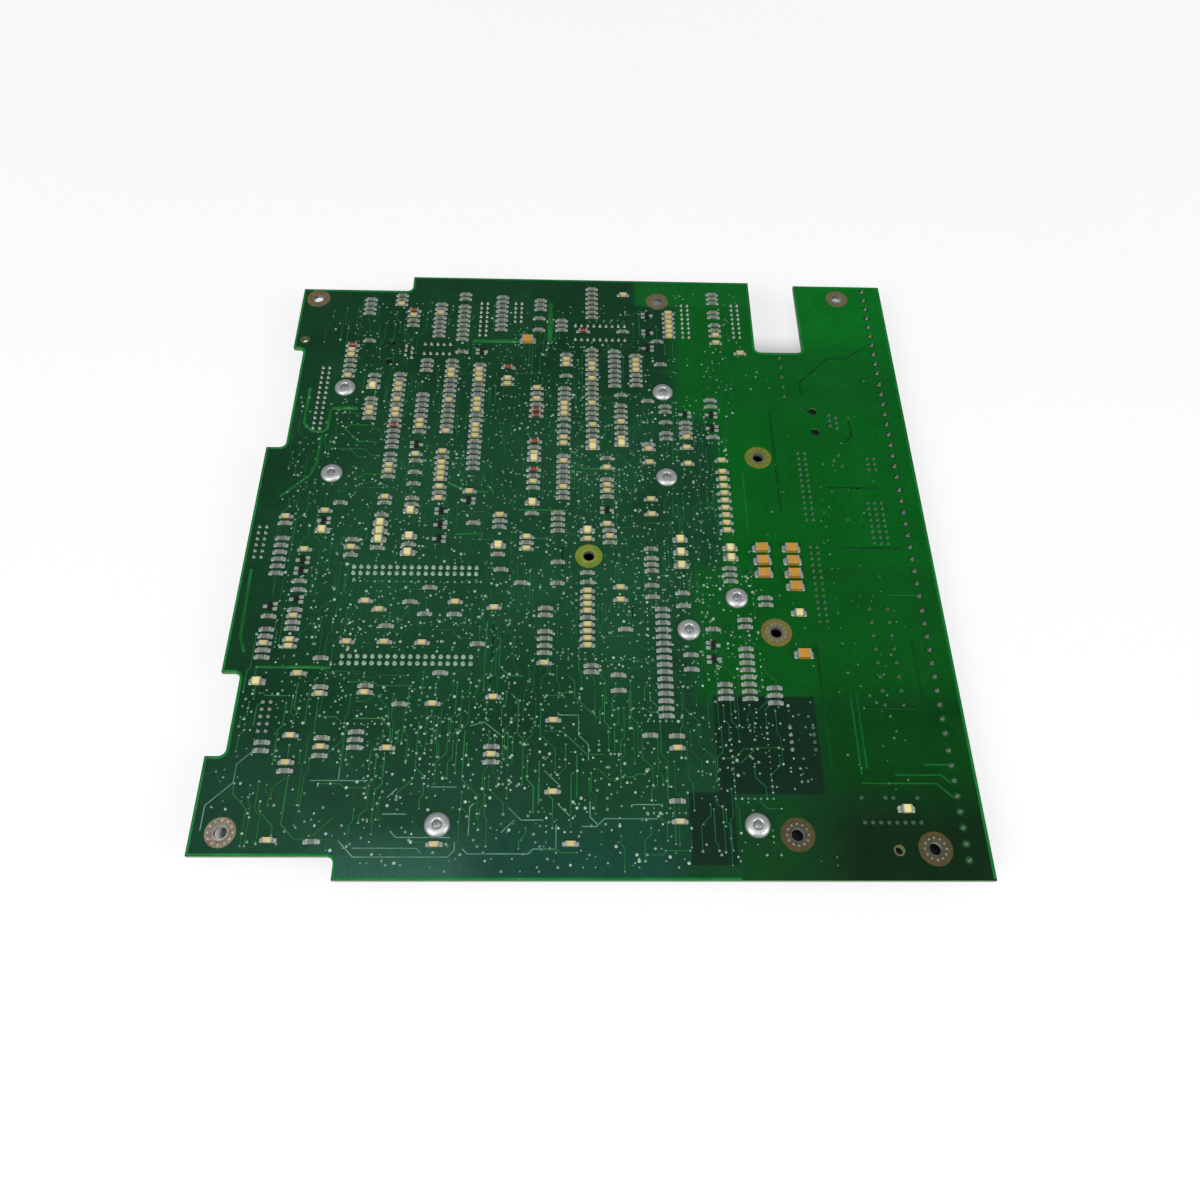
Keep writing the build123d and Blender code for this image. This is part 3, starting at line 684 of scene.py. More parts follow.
@dataclass
class Repeats:
    """The two node trees: one sets a shape on each spot, one runs a flat track along each path."""

    setting: Tree = field(init=False)
    laying: Tree = field(init=False)

    def __post_init__(self) -> None:
        """Build both trees."""
        self.setting = self._setting_tree()
        self.laying = self._laying_tree()

    @staticmethod
    def _start(name: str, **inputs: str) -> tuple[NodeDesk, Sockets]:
        """Open a tree with named inputs.

        Args:
            name: The tree's name.
            inputs: The kind of each input by its name.

        Returns:
            The desk for the tree, and what its inputs bring.
        """
        tree = bpy.data.node_groups.new(name, "GeometryNodeTree")
        for label, kind in inputs.items():
            tree.interface.new_socket(label, in_out="INPUT", socket_type=f"NodeSocket{kind}")
        tree.interface.new_socket("Geometry", in_out="OUTPUT", socket_type="NodeSocketGeometry")
        return NodeDesk(tree), tree.nodes.new("NodeGroupInput").outputs

    @staticmethod
    def _end(desk: NodeDesk, geometry: Socket, finish: Socket) -> Tree:
        """Close a tree with Realize Instances and Set Material.

        Args:
            desk: The tree's desk.
            geometry: What the tree has made.
            finish: Its material.

        Returns:
            The tree.
        """
        real = desk.add("GeometryNodeRealizeInstances", i0=geometry)
        dressed = desk.add("GeometryNodeSetMaterial", Geometry=real.outputs[0], Material=finish)
        desk.add("NodeGroupOutput", i0=dressed.outputs[0])
        return desk.tree

    def _setting_tree(self) -> Tree:
        """Build the tree that sets a shape on each spot.

        Returns:
            The tree.
        """
        sizes = {name: "Float" for name in ("Length", "Width", "Height", "Skew")}
        desk, given = self._start(
            "set_on_spots", Spots="Geometry", Shape="Object", Finish="Material", **sizes, Seed="Int"
        )
        shape = desk.add("GeometryNodeObjectInfo", Object=given["Shape"])
        turn = desk.add("GeometryNodeInputNamedAttribute", set_data_type="FLOAT", Name="turn")
        size = desk.add("GeometryNodeInputNamedAttribute", set_data_type="FLOAT_VECTOR", Name="size")
        less = desk.math("MULTIPLY", given["Skew"], -1.0)
        skew = desk.add(
            "FunctionNodeRandomValue", set_data_type="FLOAT", i2=less, i3=given["Skew"], Seed=given["Seed"]
        )
        about = desk.add("ShaderNodeCombineXYZ", Z=desk.math("ADD", turn.outputs[0], skew.outputs[1]))
        unit = desk.add("ShaderNodeCombineXYZ", X=given["Length"], Y=given["Width"], Z=given["Height"])
        placed = desk.add(
            "GeometryNodeInstanceOnPoints",
            Points=given["Spots"],
            Instance=shape.outputs["Geometry"],
            Rotation=desk.add("FunctionNodeEulerToRotation", i0=about.outputs[0]).outputs[0],
            Scale=desk.add(
                "ShaderNodeVectorMath", set_operation="MULTIPLY", i0=unit.outputs[0], i1=size.outputs[0]
            ).outputs[0],
        )
        return self._end(desk, placed.outputs[0], given["Finish"])

    def _laying_tree(self) -> Tree:
        """Build the tree that runs a flat track along each path.

        Returns:
            The tree.
        """
        desk, given = self._start(
            "lay_tracks", Paths="Geometry", Finish="Material", Width="Float", Thickness="Float"
        )
        curve = desk.add("GeometryNodeMeshToCurve", i0=given["Paths"])
        upright = desk.add("GeometryNodeSetCurveNormal", set_mode="Z_UP", i0=curve.outputs[0])
        section = desk.add(
            "GeometryNodeCurvePrimitiveQuadrilateral", Width=given["Width"], Height=given["Thickness"]
        )
        track = desk.add(
            "GeometryNodeCurveToMesh",
            Curve=upright.outputs[0],
            Profile_Curve=section.outputs[0],
            Fill_Caps=True,
        )
        return self._end(desk, track.outputs[0], given["Finish"])

    def set_shape(
        self,
        name: str,
        shape: Thing,
        spots: list[Spot],
        finish: Finish,
        size: Place = (1.0, 1.0, 1.0),
        skew: float = 0.0,
        seed: int = 1,
    ) -> Thing:
        """Set one shape on many spots and make the result a plain mesh.

        Args:
            name: Name of the piece.
            shape: The shape that is repeated.
            spots: Where it goes.
            finish: Its finish.
            size: Length, width and height of the shape's unit, in millimetres.
            skew: How far, in degrees, each one may be turned out of line.
            seed: Seed of the skew.

        Returns:
            The piece.
        """
        mesh = bpy.data.meshes.new(name)
        mesh.from_pydata([(s.x * MM, s.y * MM, s.z * MM) for s in spots], [], [])
        turn = mesh.attributes.new("turn", "FLOAT", "POINT")
        turn.data.foreach_set("value", [math.radians(s.turn) for s in spots])
        grow = mesh.attributes.new("size", "FLOAT_VECTOR", "POINT")
        grow.data.foreach_set("vector", [value for s in spots for value in s.size])
        values = {label: value * MM for label, value in zip(("Length", "Width", "Height"), size)}
        values |= {"Shape": shape, "Skew": math.radians(skew), "Seed": seed}
        return self._baked(name, mesh, self.setting, finish, values)

    def lay_tracks(
        self,
        name: str,
        paths: Iterable[Path],
        finish: Finish,
        width: float,
        level: float,
        thickness: float = 0.06,
    ) -> Thing:
        """Run a flat track along each path.

        Args:
            name: Name of the piece.
            paths: The corners of each path.
            finish: The tracks' finish.
            width: Their width.
            level: Height of their middle.
            thickness: Their thickness.

        Returns:
            The piece.
        """
        points: list[Place] = []
        edges: list[Cell] = []
        for path in paths:
            start = len(points)
            points += [(x * MM, y * MM, level * MM) for x, y in path]
            edges += [(start + step, start + step + 1) for step in range(len(path) - 1)]
        mesh = bpy.data.meshes.new(name)
        mesh.from_pydata(points, edges, [])
        values = {"Width": width * MM, "Thickness": thickness * MM}
        return self._baked(name, mesh, self.laying, finish, values)

    @staticmethod
    def _baked(
        name: str, mesh: bpy.types.Mesh, tree: Tree, finish: Finish, values: dict[str, object]
    ) -> Thing:
        """Run a tree on a mesh of points or paths, keep the plain result and let it ride.

        Args:
            name: Name of the piece.
            mesh: The points or paths.
            tree: The tree.
            finish: The finish, which gives the material.
            values: The tree's other inputs by name.

        Returns:
            The piece.
        """
        piece = in_scene(name, mesh)
        modifier = piece.modifiers.new("tree", "NODES")
        modifier.node_group = tree
        values = {"Finish": finish.material(), **values}
        for item in tree.interface.items_tree:
            if item.in_out == "INPUT" and item.name in values:
                modifier[item.identifier] = values[item.name]
        depsgraph = bpy.context.evaluated_depsgraph_get()
        plain = bpy.data.meshes.new_from_object(piece.evaluated_get(depsgraph), depsgraph=depsgraph)
        piece.modifiers.remove(modifier)
        piece.data = plain
        plain.name = name
        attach(piece, "root")
        LOG.info("%s: %d faces", name, len(plain.polygons))
        return piece


# --- The board and its holes -----------------------------------------------------------------------


def board_outline(board: Thing) -> list[Vector]:
    """Read the corners of the board's outer edge from its mesh.

    Args:
        board: The board's node.

    Returns:
        The corners in millimetres, anticlockwise from above.
    """
    mesh = bmesh.new()
    mesh.from_mesh(board.data)
    bmesh.ops.remove_doubles(mesh, verts=mesh.verts, dist=1e-7)
    follows: dict[bmesh.types.BMVert, bmesh.types.BMVert] = {}
    for face in mesh.faces:
        for loop in face.loops if face.normal.z > 0.9 else ():  # those of the top only
            other = [linked for linked in loop.edge.link_faces if linked is not face]
            if other and abs(other[0].normal.z) < 0.5:
                follows[loop.vert] = loop.link_loop_next.vert
    loops = []
    while follows:
        start, following = follows.popitem()
        ring = [start]
        while following in follows:
            ring.append(following)
            following = follows.pop(following)
        loops.append([Vector((v.co.x / MM, v.co.y / MM)) for v in ring])
    mesh.free()
    return max(loops, key=lambda ring: max(p.x for p in ring) - min(p.x for p in ring))


@dataclass
class Workshop:
    """What every sub-assembly works with."""

    nodes: dict[str, Thing]  # the CAD nodes' objects by name
    shapes: ShapeShop
    repeats: Repeats
    top: float  # height of the board's solder side
    under: float  # height of its component side
    outline: list[Vector]  # the board's corners

    def on_board(self, x: float, y: float, margin: float) -> bool:
        """Tell whether a place is on the board and clear of its edge.

        Args:
            x: The place's X.
            y: Its Y.
            margin: Least distance from the edge.

        Returns:
            Whether it is.
        """
        inside = False
        point = Vector((x, y))
        for start, end in zip(self.outline, self.outline[1:] + self.outline[:1]):
            side = end - start
            share = max(0.0, min(1.0, (point - start).dot(side) / side.length_squared))
            if (start + side * share - point).length < margin:
                return False
            if (start.y > y) != (end.y > y) and x < start.x + (y - start.y) * side.x / side.y:
                inside = not inside
        return inside

    def solids(self, *names: str) -> list[Box]:
        """Return the boxes of the solids in some CAD nodes."""
        return [box for name in names for box in solids_of(self.nodes[name])]

    def spots(
        self,
        places: Iterable[Point | Box],
        size: Place = (1.0, 1.0, 1.0),
        level: float | None = None,
        turn: float = 0.0,
    ) -> list[Spot]:
        """Turn places into spots of one size.

        Args:
            places: The places, or boxes for their middles.
            size: The spots' size.
            level: Their height, which is that of the solder side if none is given.
            turn: Their turn in degrees.

        Returns:
            The spots.
        """
        level = self.top if level is None else level
        points = [place.middle.xy if isinstance(place, Box) else place for place in places]
        return [Spot(x, y, level, turn, size) for x, y in points]

    def dress(self, material: bpy.types.Material, *names: str) -> None:
        """Give CAD nodes a material.

        Args:
            material: The material.
            names: The nodes' names.
        """
        for name in names:
            slots = self.nodes[name].data.materials
            slots.clear()
            slots.append(material)


class PadLook(Enum):
    """How the copper round a screw hole looks: the ring's finish, then its lip's."""

    BROWN = (BROWN_COPPER, BROWN_LIP)
    PINK = (PINK_COPPER, TIN)
    OLIVE = (OLIVE_MASK, OLIVE_LIP)
    DARK = (DARK_MASK, DARK_LIP)
    YELLOW = (YELLOW_MASK, YELLOW_LIP)
    BRIGHT = (BRIGHT_MASK, BRIGHT_LIP)


@dataclass(frozen=True)
class Pad:
    """The ring round one screw hole."""

    x: float
    y: float
    width: float
    look: PadLook
    lip_width: float
    holes: int = 0  # small plated holes in a circle

    def spot(self, level: float, radius: float) -> Spot:
        """Return the pad's place with a given radius."""
        return Spot(self.x, self.y, level, 0.0, (radius, radius, 1.0))


@dataclass
class MountingPads:
    """The metal rings round the screw holes, with their circles of plated holes."""

    shop: Workshop
    pads: tuple[Pad, ...] = (
        Pad(-114.0, 113.0, 9.6, PadLook.BROWN, 5.2),
        Pad(-114.0, -112.1, 9.6, PadLook.PINK, 5.0, 12),
        Pad(27.6, 114.6, 9.2, PadLook.BROWN, 5.4),
        Pad(104.4, 117.9, 9.2, PadLook.BROWN, 5.2),
        Pad(63.5, 33.1, 10.2, PadLook.YELLOW, 6.8),
        Pad(63.5, -42.0, 10.8, PadLook.OLIVE, 7.2, 12),
        Pad(63.5, -112.5, 10.8, PadLook.DARK, 7.4, 12),
        Pad(-1.3, -11.8, 9.8, PadLook.BRIGHT, 6.4),
        Pad(106.0, -116.8, 10.8, PadLook.DARK, 7.4, 12),
    )
    small_rings: tuple[Place, ...] = ((-116.4, 89.8, 1.9), (94.6, -117.3, 1.75))  # x, y, radius
    hole_radius: float = 2.1
    hole_depth: float = 1.6
    wall: float = 0.07  # thickness of a hole's lining
    circle_share: float = 0.63  # radius of the circles of plated holes, as a share of the ring's
    open_circle_share: float = 0.8  # the same on the pink ring

    def build(self) -> None:
        """Build the rings, the linings of the holes and the circles of plated holes."""
        top = self.shop.top
        shapes, pieces = self.shop.shapes, self.shop.repeats
        ring = shapes.turned("ring", [(0.5, 0.0), (1.0, 0.0), (1.0, 0.03), (0.5, 0.04)], 48, closed=True)
        for look in PadLook:
            pads = [pad for pad in self.pads if pad.look is look]
            name = look.name.lower()
            start = 2 * self.hole_radius / min(pad.lip_width for pad in pads)
            profile = [(start, 0.0), (1.0, 0.0), (0.96, 0.06), (start, 0.075)]
            lip = shapes.turned("lip", profile, 48, closed=True)
            rings = [pad.spot(top, pad.width / 2) for pad in pads]
            lips = [pad.spot(top, pad.lip_width / 2) for pad in pads]
            pieces.set_shape(f"pad_rings_{name}", ring, rings, look.value[0])
            pieces.set_shape(f"pad_lips_{name}", lip, lips, look.value[1])
        deep = -self.hole_depth
        outside = self.hole_radius - 0.005
        inside = outside - self.wall
        profile = [(outside, deep), (outside, 0.04), (inside, 0.04), (inside, deep)]
        lining = shapes.turned("hole_lining", profile, 48, closed=True)
        pieces.set_shape("hole_linings", lining, [pad.spot(top, 1.0) for pad in self.pads], DULL_TIN)
        profile = [(0.72, 0.0), (1.0, 0.0), (1.0, 0.04), (0.72, 0.05)]
        thin = shapes.turned("small_ring", profile, 32, closed=True)
        small = [Spot(x, y, top, 0.0, (radius, radius, 1.0)) for x, y, radius in self.small_rings]
        pieces.set_shape("small_hole_rings", thin, small, BROWN_COPPER)
        dot = shapes.turned("pad_via", [(0.4, 0.0), (0.37, 0.12), (0.2, 0.14), (0.0, 0.1)], 10)
        closed_pads = [pad for pad in self.pads if pad.look is not PadLook.PINK]
        open_pads = [pad for pad in self.pads if pad.look is PadLook.PINK]
        pieces.set_shape("pad_via_circles", dot, self._circles(closed_pads, self.circle_share), PAD_DOTS)
        bright = self._circles(open_pads, self.open_circle_share)
        pieces.set_shape("pad_via_circles_bright", dot, bright, BRIGHT_DOTS)

    def _circles(self, pads: list[Pad], share: float) -> list[Spot]:
        """Place the circles of small plated holes on some rings.

        Args:
            pads: The rings.
            share: Radius of the circles as a share of the ring's.

        Returns:
            The spots of the holes.
        """
        points = []
        for pad in pads:
            radius = pad.width / 2 * share
            for step in range(pad.holes):
                angle = 2 * math.pi * step / pad.holes
                points.append((pad.x + radius * math.cos(angle), pad.y + radius * math.sin(angle)))
        return self.shop.spots(points)


@dataclass
class BoardRim:
    """The brighter strip of mask along the board's outline, where no copper lies under it."""

    shop: Workshop
    inset: float = 0.5
    width: float = 0.95
    thickness: float = 0.03
    covered_from: float = 45.0  # along the near edge, from here on copper reaches the edge

    def build(self) -> None:
        """Build the strip."""
        outline = self.shop.outline
        count = len(outline)
        path = []
        for step in range(count + 1):
            before, here, after = (outline[(step + shift) % count] for shift in (-1, 0, 1))
            first = (here - before).normalized()
            second = (after - here).normalized()
            normal = Vector((-first.y, first.x)) + Vector((-second.y, second.x))
            normal *= self.inset / max(0.5, 1 + first.dot(second))
            path.append((here.x + normal.x, here.y + normal.y))
        opened = self._opened(path)
        self.shop.repeats.lay_tracks("rim_strip", [opened], RIM, self.width, self.shop.top, self.thickness)

    def _opened(self, path: list[Point]) -> list[Point]:
        """Take the covered part of the near edge out of the closed path.

        Args:
            path: The closed path.

        Returns:
            The open path.
        """
        near = min(y for _, y in path)
        for step in range(len(path) - 1):
            first, second = path[step], path[step + 1]
            flat = max(first[1], second[1]) < near + 0.1
            if flat and min(first[0], second[0]) < self.covered_from < max(first[0], second[0]):
                cut = (self.covered_from, near)
                rest = [*path[step + 1 : -1], *path[: step + 1]]
                return [*rest, cut] if second[0] > first[0] else [cut, *rest]
        return path


@dataclass
class Rivets:
    """The domed blind rivets, with the mandrel's end in the well of each head."""

    shop: Workshop
    head_radius: float = 4.05
    shank_radius: float = 2.0
    mandrel_radius: float = 1.3
    well_floor: float = 1.05
    sides: int = 48
    tail_sides: int = 32
    # radius and height of the rings of the dome above the head's rim, and of the tail under the sheet
    dome: tuple[Point, ...] = (
        (3.95, 0.46), (3.75, 0.76), (3.45, 1.02), (3.05, 1.24), (2.55, 1.4), (2.05, 1.47), (1.75, 1.45),
        (1.55, 1.36), (1.42, 1.2),
    )
    tail: tuple[Point, ...] = (
        (0.0, -6.6), (1.3, -6.6), (1.9, -6.1), (2.7, -5.4), (2.9, -4.6), (2.7, -3.8), (2.2, -3.12),
        (0.0, -3.12),
    )

    def build(self) -> None:
        """Build the rivets in place of their plain solids."""
        solids = self.shop.solids("rivets")
        low = min(box.low.z for box in solids) - self.shop.top
        head, shank, pin, floor = self.head_radius, self.shank_radius, self.mandrel_radius, self.well_floor
        rivet = [(0.0, low), (shank, low), (shank, -0.01), (head, 0.0), (head, 0.2), *self.dome]
        rivet += [(pin + 0.02, floor), (0.0, floor)]
        mandrel = [(0.0, 0.9), (pin, 0.9), (pin, 1.26), (1.0, 1.36), (0.5, 1.42), (0.0, 1.44)]
        pieces = []
        for name, profile, sides, finish in (
            ("rivet_heads", rivet, self.sides, RIVET_METAL),
            ("rivet_mandrels", mandrel, self.sides, DULL_MANDREL),
            ("rivet_tails", list(self.tail), self.tail_sides, ZINC),
        ):
            shape = self.shop.shapes.turned(f"{name}_shape", profile, sides)
            pieces.append(self.shop.repeats.set_shape(name, shape, self.shop.spots(solids), finish))
            for polygon in pieces[-1].data.polygons:
                polygon.use_smooth = True
        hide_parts("rivets")


@dataclass(frozen=True)
class ChipKind:
    """One kind of chip and how it is soldered."""

    node: str
    finish: Finish
    footprint: float  # length over its solder
    solder_width: float
    bevel: float = 0.04
    cap: float = 0.17  # share of the length that each end cap takes


@dataclass
class Chips:
    """The chip resistors and capacitors of the solder side."""

    shop: Workshop
    kinds: tuple[ChipKind, ...] = (
        ChipKind("chip_resistors", RESISTOR, 5.3, 1.6),
        ChipKind("ceramic_capacitors", CREAM, 5.3, 1.6),
        ChipKind("tall_capacitors", PALE_YELLOW, 5.6, 2.4),
        ChipKind("film_capacitors", TAN, 6.7, 3.1, cap=0.11),
        ChipKind("glass_diodes", DIODE_GLASS, 5.8, 1.6, 0.2),
    )
    solder_height: float = 0.8  # at most
    tuck: float = 0.97  # where the solder starts, as a share of the half length
    cap_bevel: float = 0.03
    skew: float = 1.6  # degrees
    first_seed: int = 11

    def build(self) -> None:
        """Build each kind in place of its plain blocks."""
        shapes, pieces = self.shop.shapes, self.shop.repeats
        for seed, kind in enumerate(self.kinds, start=self.first_seed):
            name, cap, end = kind.node, kind.cap, 0.5 - kind.cap * 0.5
            boxes = self.shop.solids(name)
            spots = self.shop.spots(boxes)
            size = tuple(boxes[0].size)
            body = shapes.blocks(f"{name}_shape", [(-end, -0.49, 0.02, end, 0.49, 0.97)], kind.bevel)
            both = [(-0.5, -0.5, 0.0, -0.5 + cap, 0.5, 1.0), (0.5 - cap, -0.5, 0.0, 0.5, 0.5, 1.0)]
            caps = shapes.blocks(f"{name}_cap_shape", both, self.cap_bevel)
            solder = shapes.wedges(f"{name}_solder_shape", size[0] / kind.footprint * self.tuck)
            pool = (kind.footprint, kind.solder_width, min(size[2], self.solder_height))
            bodies = pieces.set_shape(f"{name}_bodies", body, spots, kind.finish, size, self.skew, seed)
            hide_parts(name)
            pieces.set_shape(f"{name}_end_caps", caps, spots, CAP_METAL, size, self.skew, seed)
            pieces.set_shape(f"{name}_solder", solder, spots, TIN, pool, self.skew, seed)


@dataclass
class Transistors:
    """The three-legged transistors, two legs on one side and one on the other."""

    shop: Workshop
    leg_reach: float = 1.55  # from the body's middle to the end of a leg
    leg_width: float = 0.5
    leg_pitch: float = 1.9
    pool_width: float = 1.32
    pool_reach: float = 0.95  # beyond the end of a leg
    skew: float = 1.5  # degrees
    seed: int = 31

    def build(self) -> None:
        """Build both ways round in place of their plain blocks."""
        for node, direction in (("transistors", Direction.RIGHT), ("transistors_turned", Direction.LEFT)):
            boxes = self.shop.solids(node)
            spots = self.shop.spots(boxes, turn=direction.value)
            width, length, height = boxes[0].size
            case = [(-width / 2, -length / 2, 0.08, width / 2, length / 2, height)]
            legs: list[Block] = []
            pools: list[Block] = []
            for side, y in ((-1, -self.leg_pitch / 2), (-1, self.leg_pitch / 2), (1, 0.0)):
                knee = side * (width / 2 + 0.25)
                for start, end, low, high in (
                    (side * (width / 2 - 0.05), knee, 0.42, 0.55),
                    (knee, knee - side * 0.13, 0.05, 0.55),
                    (knee, side * self.leg_reach, 0.05, 0.18),
                ):
                    legs.append(self._bar(start, end, y, self.leg_width, low, high))
                near, far = side * (width / 2 + 0.2), side * (self.leg_reach + self.pool_reach)
                pools.append(self._bar(near, far, y, self.pool_width, 0.0, 0.2))
            pieces = [
                self.shop.repeats.set_shape(
                    f"{node}_{part}",
                    self.shop.shapes.blocks(f"{node}_{part}_shape", blocks, bevel),
                    spots,
                    finish,
                    skew=self.skew,
                    seed=self.seed,
                )
                for part, blocks, bevel, finish in (
                    ("cases", case, 0.14, TRANSISTOR),
                    ("legs", legs, 0.02, CAP_METAL),
                    ("solder", pools, 0.07, CAP_METAL),
                )
            ]
            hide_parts(node)

    @staticmethod
    def _bar(start: float, end: float, y: float, width: float, low: float, high: float) -> Block:
        """Return a block between two places along X, round a Y, and between two heights."""
        return (min(start, end), y - width / 2, low, max(start, end), y + width / 2, high)


@dataclass
class PinTails:
    """Soldered tails on the solder side, and header pins under the board."""

    shop: Workshop
    headers: tuple[tuple[str, int, int], ...] = (  # with their columns and rows of pins
        ("ribbon_header_left", 2, 13),
        ("ribbon_header_upper", 2, 13),
        ("ribbon_header_lower", 2, 13),
        ("panel_header_left", 2, 8),
        ("panel_header_middle", 2, 8),
        ("panel_header_right", 2, 8),
        ("service_header_far", 2, 5),
        ("service_header_near", 2, 5),
        ("encoder_header", 2, 6),
        ("jumper_header", 3, 8),
        ("supply_jumper", 2, 3),
    )
    sockets: tuple[tuple[str, int, int], ...] = (("option_socket_far", 18, 2), ("option_socket_near", 18, 2))
    terminal_pin_from_back: float = 4.4
    relay_rows: float = 5.08  # distance between the two rows, as in the next ones
    converter_rows: float = 8.0
    converter_outer: Point = (0.5, 3.5)  # pitches from the middle to the pins of its far row
    dip_rows: float = 7.62
    capacitor_pitch: float = 6.35
    peg_from_middle: float = 5.08
    peg_radius: float = 1.6
    peg_short: float = 0.35  # how far a peg's end stays below the solder side
    peg_slope: Point = (0.3, 0.25)  # inwards and down from a peg's end
    jack_rows: tuple[Point, ...] = ((6.2, 0.635), (8.74, -0.635))  # from the pegs, and the shift along Y
    trimmer_pins: tuple[Point, ...] = ((94.8, 34.8), (92.7, 32.2), (95.6, 29.7))
    pin_width: float = 0.64
    pin_reach: float = 6.1  # below the plastic strip
    shade_from: float = 66.0  # joints to the right of this get SHADED_TIN, a darker solder colour that is painted shade
    # width, length and height of the joints, as shares of the shape's
    header_joint: Place = (0.8, 0.8, 0.8)
    other_joint: Place = (0.85, 0.85, 0.9)
    socket_joint: Place = (1.0, 1.1, 1.0)
    terminal_joint: Place = (0.95, 0.95, 1.15)
    clearance: Place = (1.4, 1.4, 0.6)

    def build(self) -> None:
        """Build joints, pins and pegs."""
        spots, shapes, pieces = self.shop.spots, self.shop.shapes, self.shop.repeats
        header_pins, socket_pins = (
            [point for name, *counts in strips for point in grid(Box.of(name).middle, *counts)]
            for strips in (self.headers, self.sockets)
        )
        terminal_pins = terminal_points(from_back=self.terminal_pin_from_back)
        tail = [(0.82, 0.0), (0.7, 0.16), (0.5, 0.42), (0.38, 0.72), (0.34, 0.92), (0.2, 1.08), (0.0, 1.12)]
        joint = shapes.turned("joint", tail, 12)
        land = shapes.turned("land", [(0.5, 0.0), (1.0, 0.0), (0.96, 0.045), (0.5, 0.05)], 16, closed=True)
        joints = spots(header_pins, self.header_joint) + spots(self._other_pins(), self.other_joint)
        # the joints on the right get SHADED_TIN, painted shade
        bright = [spot for spot in joints if spot.x < self.shade_from]
        dull = [spot for spot in joints if spot.x >= self.shade_from]
        pieces.set_shape("header_joints", joint, bright, TIN)
        pieces.set_shape("header_joints_dull", joint, dull, SHADED_TIN)
        pieces.set_shape("socket_joints", joint, spots(socket_pins, self.socket_joint), VIA_BRIGHT)
        pieces.set_shape("terminal_joints", joint, spots(terminal_pins, self.terminal_joint), DULL_TIN)
        pieces.set_shape("terminal_clearances", land, spots(terminal_pins, self.clearance), CLEARANCE)
        pin = shapes.blocks("pin", [(-0.5, -0.5, -1.0, 0.5, 0.5, 0.0)], 0.06)
        below = spots(header_pins, level=Box.of(self.headers[-1][0]).low.z)
        size = (self.pin_width, self.pin_width, self.pin_reach)
        pieces.set_shape("header_pins", pin, below, PIN_METAL, size)
        self._pegs()

    def _pegs(self) -> None:
        """Build the jacks' two pegs each, a little short of the board's solder side."""
        reach = self.shop.top - self.shop.under - self.peg_short
        wide, (inwards, down) = self.peg_radius, self.peg_slope
        profile = [(wide, 0.0), (wide, reach - down), (wide - inwards, reach), (0.0, reach)]
        aside = self.peg_from_middle
        places = [(b.low.x + JACK_PEG_X, b.middle.y + y) for b in map(Box.of, JACKS) for y in (-aside, aside)]
        peg = self.shop.shapes.turned("peg", profile, 28)
        spots = self.shop.spots(places, level=self.shop.under)
        self.shop.repeats.set_shape("jack_pegs", peg, spots, PEG_BLACK)

    def _other_pins(self) -> list[Point]:
        """Find the pins of the relay, converter, capacitors, chips, power header, jacks and trimmer.

        Returns:
            The pins.
        """
        pins = grid(Box.of("signal_relay").middle, 5, 2, pitch_y=self.relay_rows)
        middle = Box.of("isolating_converter").middle
        pins += [
            (x, y)
            for x, y in grid(middle, 8, 2, pitch_y=self.converter_rows)
            if y < middle.y or any(abs(abs(x - middle.x) / PITCH - at) < 0.1 for at in self.converter_outer)
        ]
        for box in self.shop.solids("filter_capacitors"):
            pins += grid(box.middle, 2, 1, self.capacitor_pitch)
        pins += grid(Box.of("driver_chip").middle, 9, 2, pitch_y=self.dip_rows)
        pins += grid(Box.of("opto_coupler").middle, 2, 4, self.dip_rows)
        pins += grid(Box.of("power_header").middle, 1, 5, pitch_y=TERMINAL_PITCH)
        for box in map(Box.of, JACKS):
            peg = Vector((box.low.x + JACK_PEG_X, box.middle.y, 0))
            for along, shift in self.jack_rows:
                pins += [(peg.x + along, peg.y + shift + step * PITCH) for step in (-1, 0, 1)]
        return pins + list(self.trimmer_pins)


